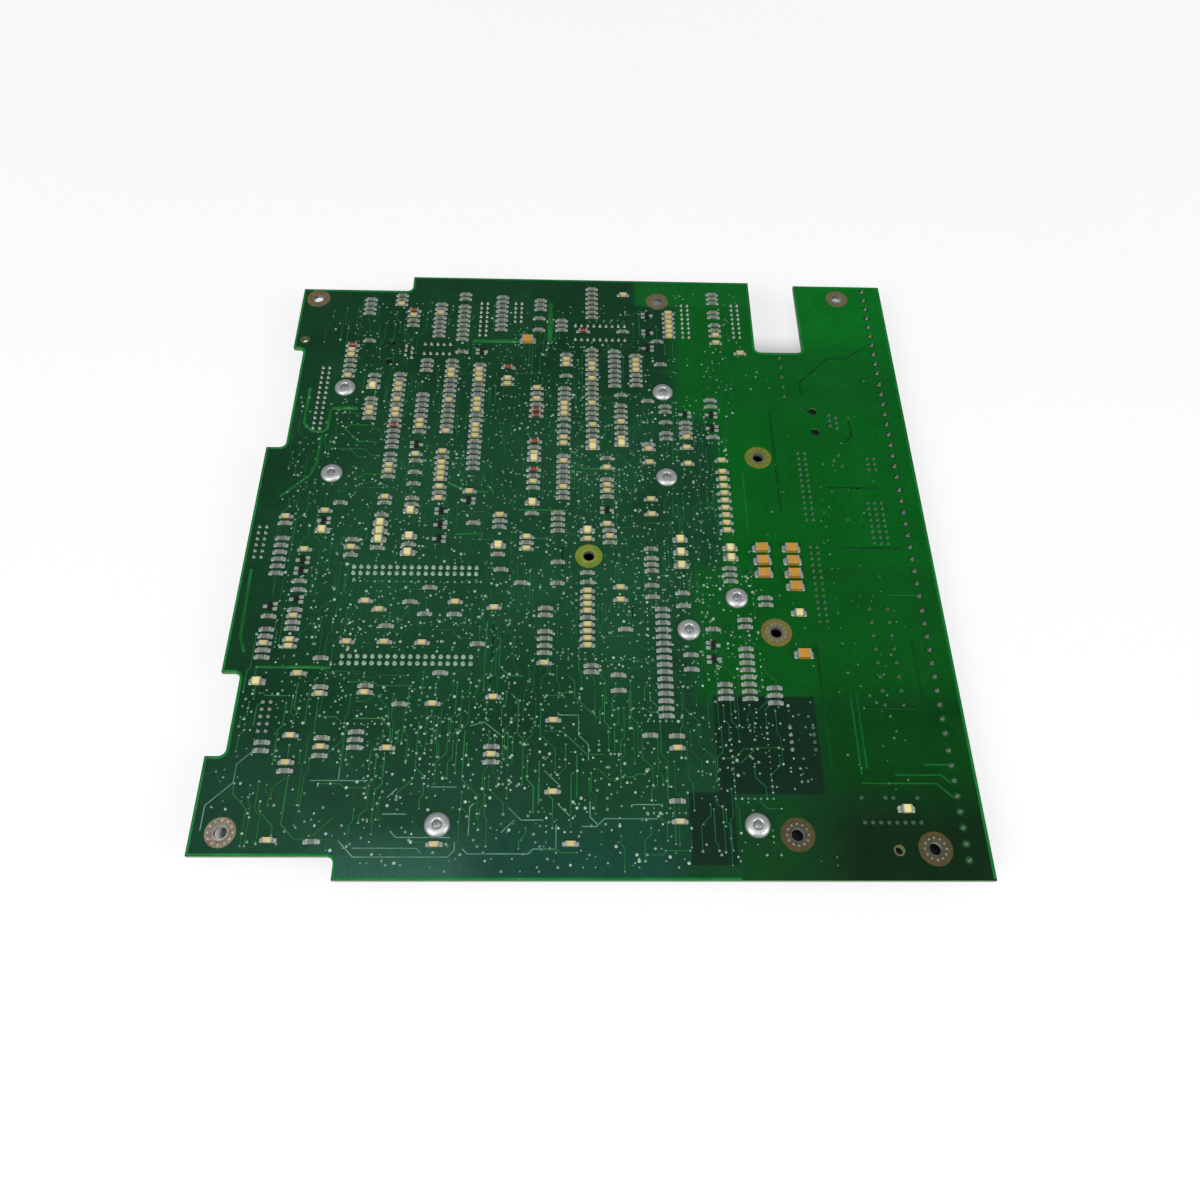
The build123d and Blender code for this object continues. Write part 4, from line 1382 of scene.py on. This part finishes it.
@dataclass
class PlatedHoles:
    """The small plated holes that pepper the board."""

    shop: Workshop
    seed: int = 27
    keep_off: float = 0.5  # clear distance from chips and joints
    edge_margin: float = 1.8  # clear distance from the board's edge
    apart: float = 1.3  # size of the cells that hold one hole each
    sizes: tuple[float, ...] = (0.6, 0.7, 0.8, 0.95, 1.15)
    # first hole's x and y, step along x and y, count
    rows: tuple[tuple[float, float, float, float, int], ...] = (
        (-84, -23, 2.54, 0, 18), (-84, -27, 5.08, 0, 9), (-86, -39, 3.81, 0, 13), (-83, -48.6, 5.08, 0, 9),
        (19, -33, 0, -2.66, 16), (29.4, -33, 0, -3.99, 11), (57, -50, 0, -2.5, 6), (18, -75, 2, 0, 6),
        (17, -105.7, 2, 0, 7), (64.6, -76, 0, -3, 4), (72.3, -76, 0, -3, 4), (66.6, -91, 0, -2.2, 3),
        (45, -77, 2, 0, 7), (45, -101, 2, 0, 7), (45, -79, 0, -2, 11), (57, -79, 0, -2, 11),
        (-84, -76.4, 2.2, 0, 9), (-52, -78, 0, -2.4, 9), (33.5, -72, 0.8, -4.2, 8), (86, 20, 0, -6, 12),
        (98.6, -50, 0, -7.6, 5), (90.2, -46, 0, -8, 4),
    )
    # left, near, right and far edge, count
    fields: tuple[tuple[float, float, float, float, int], ...] = (
        (-119, -118, -80, -90, 60), (-119, -90, -80, -58, 150), (-78, -124, -20, -100, 90),
        (-78, -100, -20, -58, 420), (-20, -124, 26, -58, 320), (26, -122, 60, -58, 150),
        (-108, -56, -20, -18, 420), (-20, -56, 58, -18, 500), (-114, -18, -20, 60, 680),
        (-20, -18, 52, 60, 680), (-100, 60, 20, 112, 480), (20, 60, 64, 120, 90), (62, 36, 112, 84, 14),
        (64, -60, 112, 34, 70), (76, -98, 110, -60, 14), (60, -98, 73, -68, 30), (66, -122, 76, -104, 5),
        (-118, 86, -80, 116, 14),
    )
    drill_grid: float = 0.635
    bright_share: float = 0.24
    bright_size: Place = (1.15, 1.15, 1.0)
    masked_from: float = 67.0  # holes to the right of this are under the mask

    def places(self, blocked: list[Box]) -> list[Point]:
        """Choose where the holes are.

        Args:
            blocked: Boxes that the holes stay clear of.

        Returns:
            The holes' places.
        """
        chance = random.Random(self.seed)
        places: list[Point] = []
        for x, y, step_x, step_y, count in self.rows:
            places += [(x + step * step_x, y + step * step_y) for step in range(count)]
        for left, near, right, far, count in self.fields:
            for _ in range(count):
                place = (chance.uniform(left, right), chance.uniform(near, far))
                places.append(tuple(round(value / self.drill_grid) * self.drill_grid for value in place))
        return self._clear(places, blocked)

    def build(self, places: list[Point]) -> None:
        """Build the holes.

        Args:
            places: Where they are.
        """
        chance = random.Random(self.seed)
        dot = self.shop.shapes.turned("via", [(0.4, 0.0), (0.3, 0.05), (0.0, 0.04)], 8)
        dull: list[Spot] = []
        bright: list[Spot] = []
        masked: list[Spot] = []
        for x, y in places:
            size = chance.choice(self.sizes)
            shiny = chance.random() < self.bright_share
            group = masked if x > self.masked_from else bright if shiny else dull
            group += self.shop.spots([(x, y)], (size, size, 1.0))
        pieces = self.shop.repeats
        pieces.set_shape("plated_holes", dot, dull, VIA_TIN)
        pieces.set_shape("plated_holes_masked", dot, masked, MASKED_VIA)
        pieces.set_shape("plated_holes_bright", dot, bright, VIA_BRIGHT, self.bright_size)

    def _clear(self, places: list[Point], blocked: list[Box]) -> list[Point]:
        """Drop places that are too near a blocked box or another hole.

        Args:
            places: The places.
            blocked: The blocked boxes.

        Returns:
            The places that are left.
        """
        kept: dict[Cell, Point] = {}
        off = self.keep_off
        edges = [(b.low.x - off, b.high.x + off, b.low.y - off, b.high.y + off) for b in blocked]
        for x, y in places:
            cell = (round(x / self.apart), round(y / self.apart))
            if cell in kept or any(left < x < right and near < y < far for left, right, near, far in edges):
                continue
            if self.shop.on_board(x, y, self.edge_margin):
                kept[cell] = (x, y)
        return list(kept.values())


@dataclass(frozen=True)
class TrackGroup:
    """Tracks of one width and colour, each given by its corners."""

    name: str
    finish: Finish
    width: float
    paths: tuple[Path, ...]


@dataclass
class Tracks:
    """The copper tracks that show through the mask: the plain ones listed, the small ones routed."""

    shop: Workshop
    groups: tuple[TrackGroup, ...] = (
        TrackGroup("wide_tracks", TRACK, 1.2, (
            ((-112.5, -56.3), (-87.5, -56.3)), ((-120, -18.5), (-119.2, -45.5), (-117, -51)),
            ((-110.8, 64.5), (-110.8, 47), (-107, 43), (-103, 43), (-101.5, 44.5), (-101.5, 54)),
            ((-103.5, 41), (-103.5, 28), (-105.5, 22), (-115, 12.5)), ((-53, 19.5), (-46, 16), (-38.5, 16)),
        )),
        TrackGroup("pour_tracks", TRACK, 2.2, (
            ((-101, 54.8), (-91, 54.8)), ((-48.5, 91), (-28, 91)), ((-17.2, 112.5), (-17.2, 91)),
        )),
        TrackGroup("middle_tracks", TRACK, 0.7, (
            ((-81.5, 43.5), (-84.5, 46.5), (-93, 46.5), (-95, 44.5), (-89, 38.5), (-81.5, 38.5)),
            ((-87, 21.5), (-85, 23.5), (-78.5, 23.5)), ((-49.5, -3), (-40.5, -2.5)), ((-27.5, 8), (-9, 8)),
            ((-5.5, 29), (-3.5, 27), (3.5, 27)), ((57, 26.5), (57, 0.5)),
        )),
        TrackGroup("near_tracks", TRACK_NEAR, 0.5, (
            ((-31.5, -44.5), (-31.5, -55.5), (-28, -59), (-23, -59)), ((-34, -38.5), (-34, -64.5)),
            ((-36.3, -38.5), (-36.3, -65.5)), ((-68.5, -109.5), (-68.5, -98.5), (-66.5, -96.5), (-66.5, -87)),
            ((-27, -65.5), (-24.5, -68), (-24.5, -79.5), (-22.5, -81.5), (-22.5, -97)),
            ((-27.5, -78.5), (-27.5, -89)), ((-25.9, -80.5), (-25.9, -90)), ((-7, -93), (-7, -110.5)),
            ((-5.2, -86.5), (-5.2, -101)), ((-88, -74), (-83.5, -74), (-80, -77.5), (-80, -91.5)),
            ((-78, -74.5), (-69, -74.5), (-65.5, -78), (-65.5, -83)),
            ((-109.7, -77.5), (-109.7, -70.5), (-107.7, -68.5)), ((-97.5, -62), (-97.5, -71), (-95.5, -73)),
            ((-96, -94), (-96, -109.5), (-91.5, -114), (-80, -114)), ((-86.5, -113.5), (-80.5, -107.5)),
            ((-56.5, -75.5), (-56.5, -91), (-53, -94.5)),
            ((-21, -86.5), (-21, -95), (-18.8, -97.2), (-18.8, -106)), ((-17.2, -88.5), (-17.2, -103)),
            ((-8, -59), (-6, -61), (-6, -66.5), (1.5, -74)),
            ((-16, -78.5), (-10, -78.5), (-2, -86.5), (3.5, -86.5)),
            ((-41.5, -78.5), (-41.5, -95), (-36.2, -100.3), (-36.2, -108)),
        )),
        TrackGroup("pale_tracks", TRACK_PALE, 0.38, (
            ((-89, -95.5), (-71, -95.5)), ((-80.2, -95.5), (-80.2, -85.5)),
            ((-120.2, -111.5), (-120.2, -103.7), (-112.8, -96.3), (-112.8, -90.3), (-107.5, -85)),
            ((-78, -114.5), (-73, -119.5), (-44.5, -119.5), (-42.5, -117.5), (-42.5, -115)),
            ((-73.5, -116.8), (-54, -116.8), (-52.5, -118.3)),
            ((-62.5, -111.5), (-60.5, -113.5), (-44, -113.5)),
            ((-40, -117), (-38.5, -118.5), (-20, -118.5), (-18.5, -117), (-11.5, -117), (-11.5, -109.5)),
            ((-65.5, -106.2), (-58, -106.2)), ((-51, -97.5), (-43, -97.5)),
            ((-40, -77), (-35.5, -75.5), (-30, -80)), ((-15.5, -92), (-11, -96.5)),
            ((-26.5, -104), (-22.5, -108), (-15.5, -108)), ((-28.5, -112), (-24.5, -108)),
            ((-11, -103), (-6.5, -107.5)), ((-3.5, -110), (1, -110), (3.5, -107.5), (20, -107.5)),
            ((-1, -102), (-1, -107), (1.5, -109.5)),
            ((-11.5, -73), (-4.7, -73), (-4.7, -80), (-1.5, -83.2), (-1.5, -88.5)),
            ((-64.5, -101), (-61.5, -98)), ((-38.5, -113), (-38.5, -104), (-37.2, -102.7)),
            ((12, -103), (22, -103)),
        )),
        TrackGroup("right_tracks", TRACK_RIGHT, 0.6, (
            ((97, -93), (112, -93), (114.5, -95.5)), ((86, -95.8), (110, -95.8), (114.5, -100.3)),
            ((107, -89.5), (115, -89.5)), ((105, -26.7), (115, -26.7)), ((86.2, -65), (86.2, -93)),
            ((88.2, -65), (88.2, -91)), ((100, 20), (100, 5), (98, 3)),
        )),
        TrackGroup("copper_gaps", COPPER_GAP, 0.9, (
            ((83.5, 64.5), (83.5, 71), (96.5, 84), (104, 84), (112, 90)), ((73, 58), (70, 55), (70, 8)),
            ((101, 52), (101, 44), (98, 41)), ((88.5, 19.3), (108, 19.3)), ((91.5, -7.3), (113, -7.3)),
            ((110.3, -44), (110.3, -68)), ((90.5, -70), (108, -70)), ((76.8, -46), (76.8, -92)),
        )),
    )
    seed: int = 8
    routed: int = 520
    tries: int = 12  # for each routed track
    routed_width: float = 0.34
    first_run: Point = (1.5, 13.0)  # shortest and longest
    second_run: Point = (1.0, 14.0)
    jogs: tuple[float, ...] = (0.9, 1.3, 2.0, 3.2, 5.0)
    crosswise_share: float = 0.18
    cell: float = 0.8  # least distance between two routed tracks
    edge_margin: float = 1.8
    go_round: float = 5.0  # routed tracks keep off boxes wider than this
    area: tuple[float, float, float, float] = (-118.0, -119.0, 62.0, 112.0)
    near_corner: Point = (26.0, -60.0)  # right and far edge of the part with the brighter routed tracks

    def build(self, holes: list[Point], blocked: list[Box]) -> list[Point]:
        """Build the tracks.

        Args:
            holes: Plated holes that the routed tracks start from.
            blocked: Boxes; the routed tracks go round the large ones.

        Returns:
            The holes that the routed tracks end in.
        """
        level = self.shop.top + 0.005
        lay = self.shop.repeats.lay_tracks
        used: set[Cell] = set()
        for group in self.groups:
            lay(group.name, group.paths, group.finish, group.width, level)
            used = used.union(*map(self._cells, group.paths))
        for box in blocked:
            if min(box.size.x, box.size.y) > self.go_round:
                used |= self._box_cells(box)
        paths = self._routed(holes, used)
        right, far = self.near_corner
        near = [path for path in paths if path[0][0] < right and path[0][1] < far]
        rest = [path for path in paths if path not in near]
        lay("routed_tracks", rest, TRACK_FAINT, self.routed_width, level)
        lay("routed_tracks_near", near, TRACK_NEAR, self.routed_width, level)
        return [path[-1] for path in paths]

    def _cells(self, path: Path) -> set[Cell]:
        """Find the grid cells that a path passes.

        Args:
            path: The path.

        Returns:
            The cells.
        """
        cells = set()
        for (x, y), (next_x, next_y) in zip(path, path[1:]):
            steps = max(1, math.ceil(math.hypot(next_x - x, next_y - y) / (self.cell / 2)))
            for share in (step / steps for step in range(steps + 1)):
                at = (x + (next_x - x) * share, y + (next_y - y) * share)
                cells.add((round(at[0] / self.cell), round(at[1] / self.cell)))
        return cells

    def _box_cells(self, box: Box) -> set[Cell]:
        """Find the grid cells that a box covers.

        Args:
            box: The box.

        Returns:
            The cells.
        """
        columns, rows = (
            range(math.floor(low / self.cell), math.ceil(high / self.cell) + 1)
            for low, high in zip(box.low.xy, box.high.xy)
        )
        return {(column, row) for row in rows for column in columns}

    def _routed(self, holes: list[Point], used: set[Cell]) -> list[list[Point]]:
        """Run tracks from the holes, mostly lengthwise with slanting jogs, none across another.

        Args:
            holes: Where they start.
            used: Cells that are taken; those of the new tracks are added.

        Returns:
            The corners of each track.
        """
        chance = random.Random(self.seed)
        left, near, right, far = self.area
        paths: list[list[Point]] = []
        for _ in range(self.routed * self.tries):
            if len(paths) == self.routed:
                break
            x, y = chance.choice(holes)
            way = chance.choice((-1, 1))
            side = chance.choice((-1, 1))
            first = chance.uniform(*self.first_run)
            jog = chance.choice(self.jogs) * side
            second = chance.uniform(*self.second_run)
            along = [(0.0, 0.0), (0.0, way * first), (jog, way * (first + abs(jog)))]
            along.append((jog, way * (first + abs(jog) + second)))
            if chance.random() < self.crosswise_share:
                along = [(v, u) for u, v in along]
            path = [(x + u, y + v) for u, v in along]
            cells = self._cells(path)
            end_x, end_y = path[-1]
            fits = left < end_x < right and near < end_y < far and left < x < right and not cells & used
            if fits and all(self.shop.on_board(*corner, self.edge_margin) for corner in path):
                used |= cells
                paths.append(path)
        return paths


@dataclass(frozen=True)
class LeadRows:
    """The bent leads of some flat chips."""

    nodes: tuple[str, ...]
    pitch: float
    reach: float
    sides: tuple[int, ...]  # turn of each side that has leads, in degrees
    width: float = 0.42  # as a share of the pitch
    drop: float = 0.55  # as a share of the chip's height
    end_gap: float = 1.0  # length of a side without leads

    def along(self, box: Box, turn: int, under: float) -> list[Spot]:
        """Place the leads along one side of a chip, hanging from the board's underside.

        Args:
            box: The chip's box.
            turn: The side's turn.
            under: Height of the board's underside.

        Returns:
            The leads' spots.
        """
        depth, run = box.size.xy if turn % 180 == 0 else box.size.yx
        outwards = Matrix.Rotation(math.radians(turn), 3, "Z")
        count = max(2, int((run - self.end_gap) / self.pitch))
        size = (self.reach, self.pitch * self.width, -self.drop * box.size.z)
        row = []
        for number in range(count):
            local = outwards @ Vector((depth / 2 - 0.1, (number - (count - 1) / 2) * self.pitch, 0))
            row.append(Spot(box.middle.x + local.x, box.middle.y + local.y, under, turn, size))
        return row


@dataclass
class HiddenSide:
    """Leads, contacts and finishes of what hangs under the board."""

    shop: Workshop
    finishes: tuple[tuple[Finish, tuple[str, ...]], ...] = (
        (TERMINAL, TERMINAL_BLOCKS),
        (BLACK_PLASTIC, (*(name for name, _, _ in PinTails.headers + PinTails.sockets), "power_header")),
        (JACK_PLASTIC, JACKS),
        (ZINC, ("rail_left", "rail_right", "front_rail", "corner_bracket")),
        (CHIP_PLASTIC, ("driver_chip", "opto_coupler", "isolating_converter", "main_processor")),
        (CHIP_PLASTIC, ("gate_array", "program_memory", "data_memory", "voltage_regulator", "logic_chips")),
        (RELAY_SHELL, ("signal_relay",)),
        (BLUE_DIP, ("filter_capacitors",)),
        (TRIMMER_BLUE, ("trimmer",)),
        (CAN, ("clock_crystal",)),
    )
    leads: tuple[LeadRows, ...] = (
        LeadRows(("main_processor", "gate_array"), 0.8, 1.3, (0, 90, 180, 270)),
        LeadRows(("program_memory", "data_memory"), 1.27, 1.4, (0, 180)),
        LeadRows(("logic_chips",), 1.27, 0.95, (90, 270)),
    )
    clamp_depth: float = 5.6  # below the board
    clamp_from_front: float = 2.0
    jack_contacts: int = 6
    contact_pitch: float = 1.02
    contact_place: Point = (3.0, 1.6)  # from a jack's mouth and from its low side

    def build(self) -> None:
        """Dress the solids and add leads, clamp plates and the jacks' wires."""
        shapes, pieces, under = self.shop.shapes, self.shop.repeats, self.shop.under
        for finish, names in self.finishes:
            self.shop.dress(finish.material(), *names)
        spots = [
            spot
            for rows in self.leads
            for box in self.shop.solids(*rows.nodes)
            for turn in rows.sides
            for spot in rows.along(box, turn, under)
        ]
        pieces.set_shape("gull_leads", shapes.gull_lead("gull_lead"), spots, PIN_METAL)
        plate = shapes.blocks("clamp", [(-2.6, -1.5, -1.6, -0.2, 1.5, -1.3)], 0.05)
        poles = terminal_points(from_front=self.clamp_from_front)
        clamps = self.shop.spots(poles, level=under - self.clamp_depth)
        pieces.set_shape("terminal_clamps", plate, clamps, PIN_METAL)
        wire = shapes.blocks("jack_wire", [(0.0, -0.2, 0.0, 8.0, 0.2, 0.4)], 0.05)
        shifts = [(n - (self.jack_contacts - 1) / 2) * self.contact_pitch for n in range(self.jack_contacts)]
        wires = [
            Spot(box.low.x + self.contact_place[0], box.middle.y + shift, box.low.z + self.contact_place[1])
            for box in map(Box.of, JACKS)
            for shift in shifts
        ]
        pieces.set_shape("jack_wires", wire, wires, GOLD)


@dataclass(frozen=True)
class Lamp:
    """A soft round lamp that looks at the board. Lengths are in metres."""

    name: str
    place: Place
    width: float
    power: float

    def build(self) -> None:
        """Add the lamp."""
        light = bpy.data.lights.new(self.name, "AREA")
        light.shape = "DISK"
        light.size = self.width
        light.energy = self.power
        lamp = in_scene(self.name, light)
        lamp.location = self.place
        lamp.rotation_euler = (Vector() - Vector(self.place)).to_track_quat("-Z", "Y").to_euler()


@dataclass
class Studio:
    """Floor, light and camera. Lengths are in metres."""

    floor_half: float = 40.0
    camera_place: Place = (-0.0073, -0.1946, 0.3108)
    camera_turn: Place = (29.01, -1.7, -0.37)  # degrees
    lens: float = 29.16
    lamps: tuple[Lamp, ...] = (
        Lamp("key", (-0.75, -0.75, 0.95), 0.7, 12.0),
        Lamp("fill", (0.9, -0.5, 0.8), 0.8, 7.0),
        Lamp("overhead", (0.0, -0.25, 1.1), 0.5, 2.5),
    )
    room_colour: Colour = (0.95, 0.98, 1.0)
    world_strength: float = 0.3
    backdrop_strength: float = 1.05  # of the room where the camera looks straight at it
    lit_floor: Colour = (0.9, 0.9, 0.9)
    shaded_floor: Colour = (0.07, 0.07, 0.07)
    white_share: float = 0.7  # of the floor's look that is plain white, close to the board
    white_from: float = 0.28  # from the middle, from here on the floor grows whiter
    white_at: float = 0.9
    # left, near, right and far edge of the floor's shaded parts under the board, and their soft margin
    shaded: tuple[Patch, ...] = (
        (-0.1215, -0.1, 0.127, 0.11, 0.02),
        (0.05, -0.1225, 0.08, -0.07, 0.004),
        (0.088, -0.1225, 0.127, -0.07, 0.004),
        (-0.1242, -0.1155, -0.095, -0.085, 0.006),
    )
    # floor beyond the board's far edge that keeps its own shadow when seen through the holes
    unlit: tuple[Patch, ...] = (
        (-0.1262, 0.102, 0.036, 0.1335, 0.003),
        (-0.07, 0.06, 0.036, 0.1415, 0.004),
        (0.102, 0.06, 0.129, 0.1415, 0.004),
    )

    def build(self) -> None:
        """Build the studio."""
        self._floor()
        for lamp in self.lamps:
            lamp.build()
        self._world()
        self._camera()

    def _floor(self) -> None:
        """Add the pale floor, which stays white to the camera but for the soft shadow."""
        half = self.floor_half
        mesh = bpy.data.meshes.new("floor")
        corners = [(-half, -half, 0), (half, -half, 0), (half, half, 0), (-half, half, 0)]
        mesh.from_pydata(corners, [], [(0, 1, 2, 3)])
        floor = in_scene("floor", mesh)
        material, desk, shader = new_material("pale_floor")
        path = desk.add("ShaderNodeLightPath").outputs
        seen = desk.math("MAXIMUM", path["Is Camera Ray"], path["Is Glossy Ray"])
        seen = desk.math("MAXIMUM", seen, path["Is Transmission Ray"])
        where = desk.where()
        axes = desk.axes(where)
        under, beyond = (self._covered(desk, axes, patches) for patches in (self.shaded, self.unlit))
        outside = desk.math("SUBTRACT", 1.0, desk.math("MAXIMUM", under, beyond))
        desk.fill(shader, Base_Color=desk.blend(under, self.lit_floor, self.shaded_floor), Roughness=0.9)
        distance = desk.add("ShaderNodeVectorMath", set_operation="LENGTH", i0=where).outputs["Value"]
        white = desk.remap(distance, self.white_from, self.white_at, self.white_share, 1.0)
        share = desk.product(seen, outside, white)
        glow = desk.add("ShaderNodeEmission", Color=(1, 1, 1, 1), Strength=1.0)
        mix = desk.add("ShaderNodeMixShader", i0=share, i1=shader.outputs[0], i2=glow.outputs[0])
        desk.fill(material.node_tree.nodes["Material Output"], i0=mix.outputs[0])
        mesh.materials.append(material)

    @staticmethod
    def _covered(desk: NodeDesk, axes: Sockets, patches: tuple[Patch, ...]) -> object:
        """Find whether a place is on any of some patches of the floor.

        Args:
            desk: The desk for the floor's nodes.
            axes: The place's X, Y and Z.
            patches: The patches.

        Returns:
            1 on a patch and 0 elsewhere, with soft edges.
        """
        covered: object = 0.0
        for *edges, soft in patches:
            covered = desk.math("MAXIMUM", covered, desk.inside(axes, edges, 0.0, soft))
        return covered

    def _world(self) -> None:
        """Add the even light of the room."""
        world = bpy.data.worlds.new("room")
        world.use_nodes = True
        desk = NodeDesk(world.node_tree)
        seen = desk.add("ShaderNodeLightPath").outputs["Is Camera Ray"]
        strength = desk.remap(seen, 0.0, 1.0, self.world_strength, self.backdrop_strength)
        desk.fill(world.node_tree.nodes["Background"], Color=(*self.room_colour, 1.0), Strength=strength)
        bpy.context.scene.world = world

    def _camera(self) -> None:
        """Add the camera."""
        data = bpy.data.cameras.new("camera")
        data.lens = self.lens
        data.sensor_width = 36.0
        data.clip_start = 0.01
        data.clip_end = 100.0
        camera = in_scene("camera", data)
        camera.location = self.camera_place
        camera.rotation_euler = [math.radians(angle) for angle in self.camera_turn]
        bpy.context.scene.camera = camera
        bpy.context.scene.view_settings.view_transform = "Standard"


def blocked_boxes(shop: Workshop) -> list[Box]:
    """Collect what the plated holes stay clear of.

    Args:
        shop: The workshop.

    Returns:
        The boxes.
    """
    boxes = []
    for kind in Chips.kinds:
        for box in shop.solids(kind.node):
            solder = Vector(((kind.footprint - box.size.x) / 2 - SOLDER_OVERLAP, SIDE_GAP, 0))
            boxes.append(Box(box.low - solder, box.high + solder))
    boxes += shop.solids("transistors", "transistors_turned", "rivets")
    for pad in MountingPads.pads:
        middle, half = Vector((pad.x, pad.y, 0)), Vector((pad.width / 2, pad.width / 2, 0))
        boxes.append(Box(middle - half, middle + half))
    strips = [name for name, _, _ in PinTails.headers + PinTails.sockets]
    names = (*strips, "driver_chip", "signal_relay", "isolating_converter", *TERMINAL_BLOCKS)
    return boxes + [Box.of(name) for name in names]


def main() -> None:
    """Dress the board, build the studio and report."""
    logging.basicConfig(level=logging.INFO, format="%(name)s: %(message)s")
    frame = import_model()
    board = Box.of("circuit_board")
    outline = board_outline(frame["nodes"]["circuit_board"])
    shop = Workshop(frame["nodes"], ShapeShop(), Repeats(), board.high.z, board.low.z, outline)
    shop.dress(SolderMask().material(), "circuit_board")
    blocked = blocked_boxes(shop)
    for sub_assembly in (Chips, Transistors, MountingPads, BoardRim, Rivets, PinTails):
        sub_assembly(shop).build()
    plated = PlatedHoles(shop)
    holes = plated.places(blocked)
    ends = Tracks(shop).build(holes, blocked)
    plated.build(holes + ends)
    HiddenSide(shop).build()
    shop.shapes.clear()
    Studio().build()


if __name__ == "__main__":
    main()
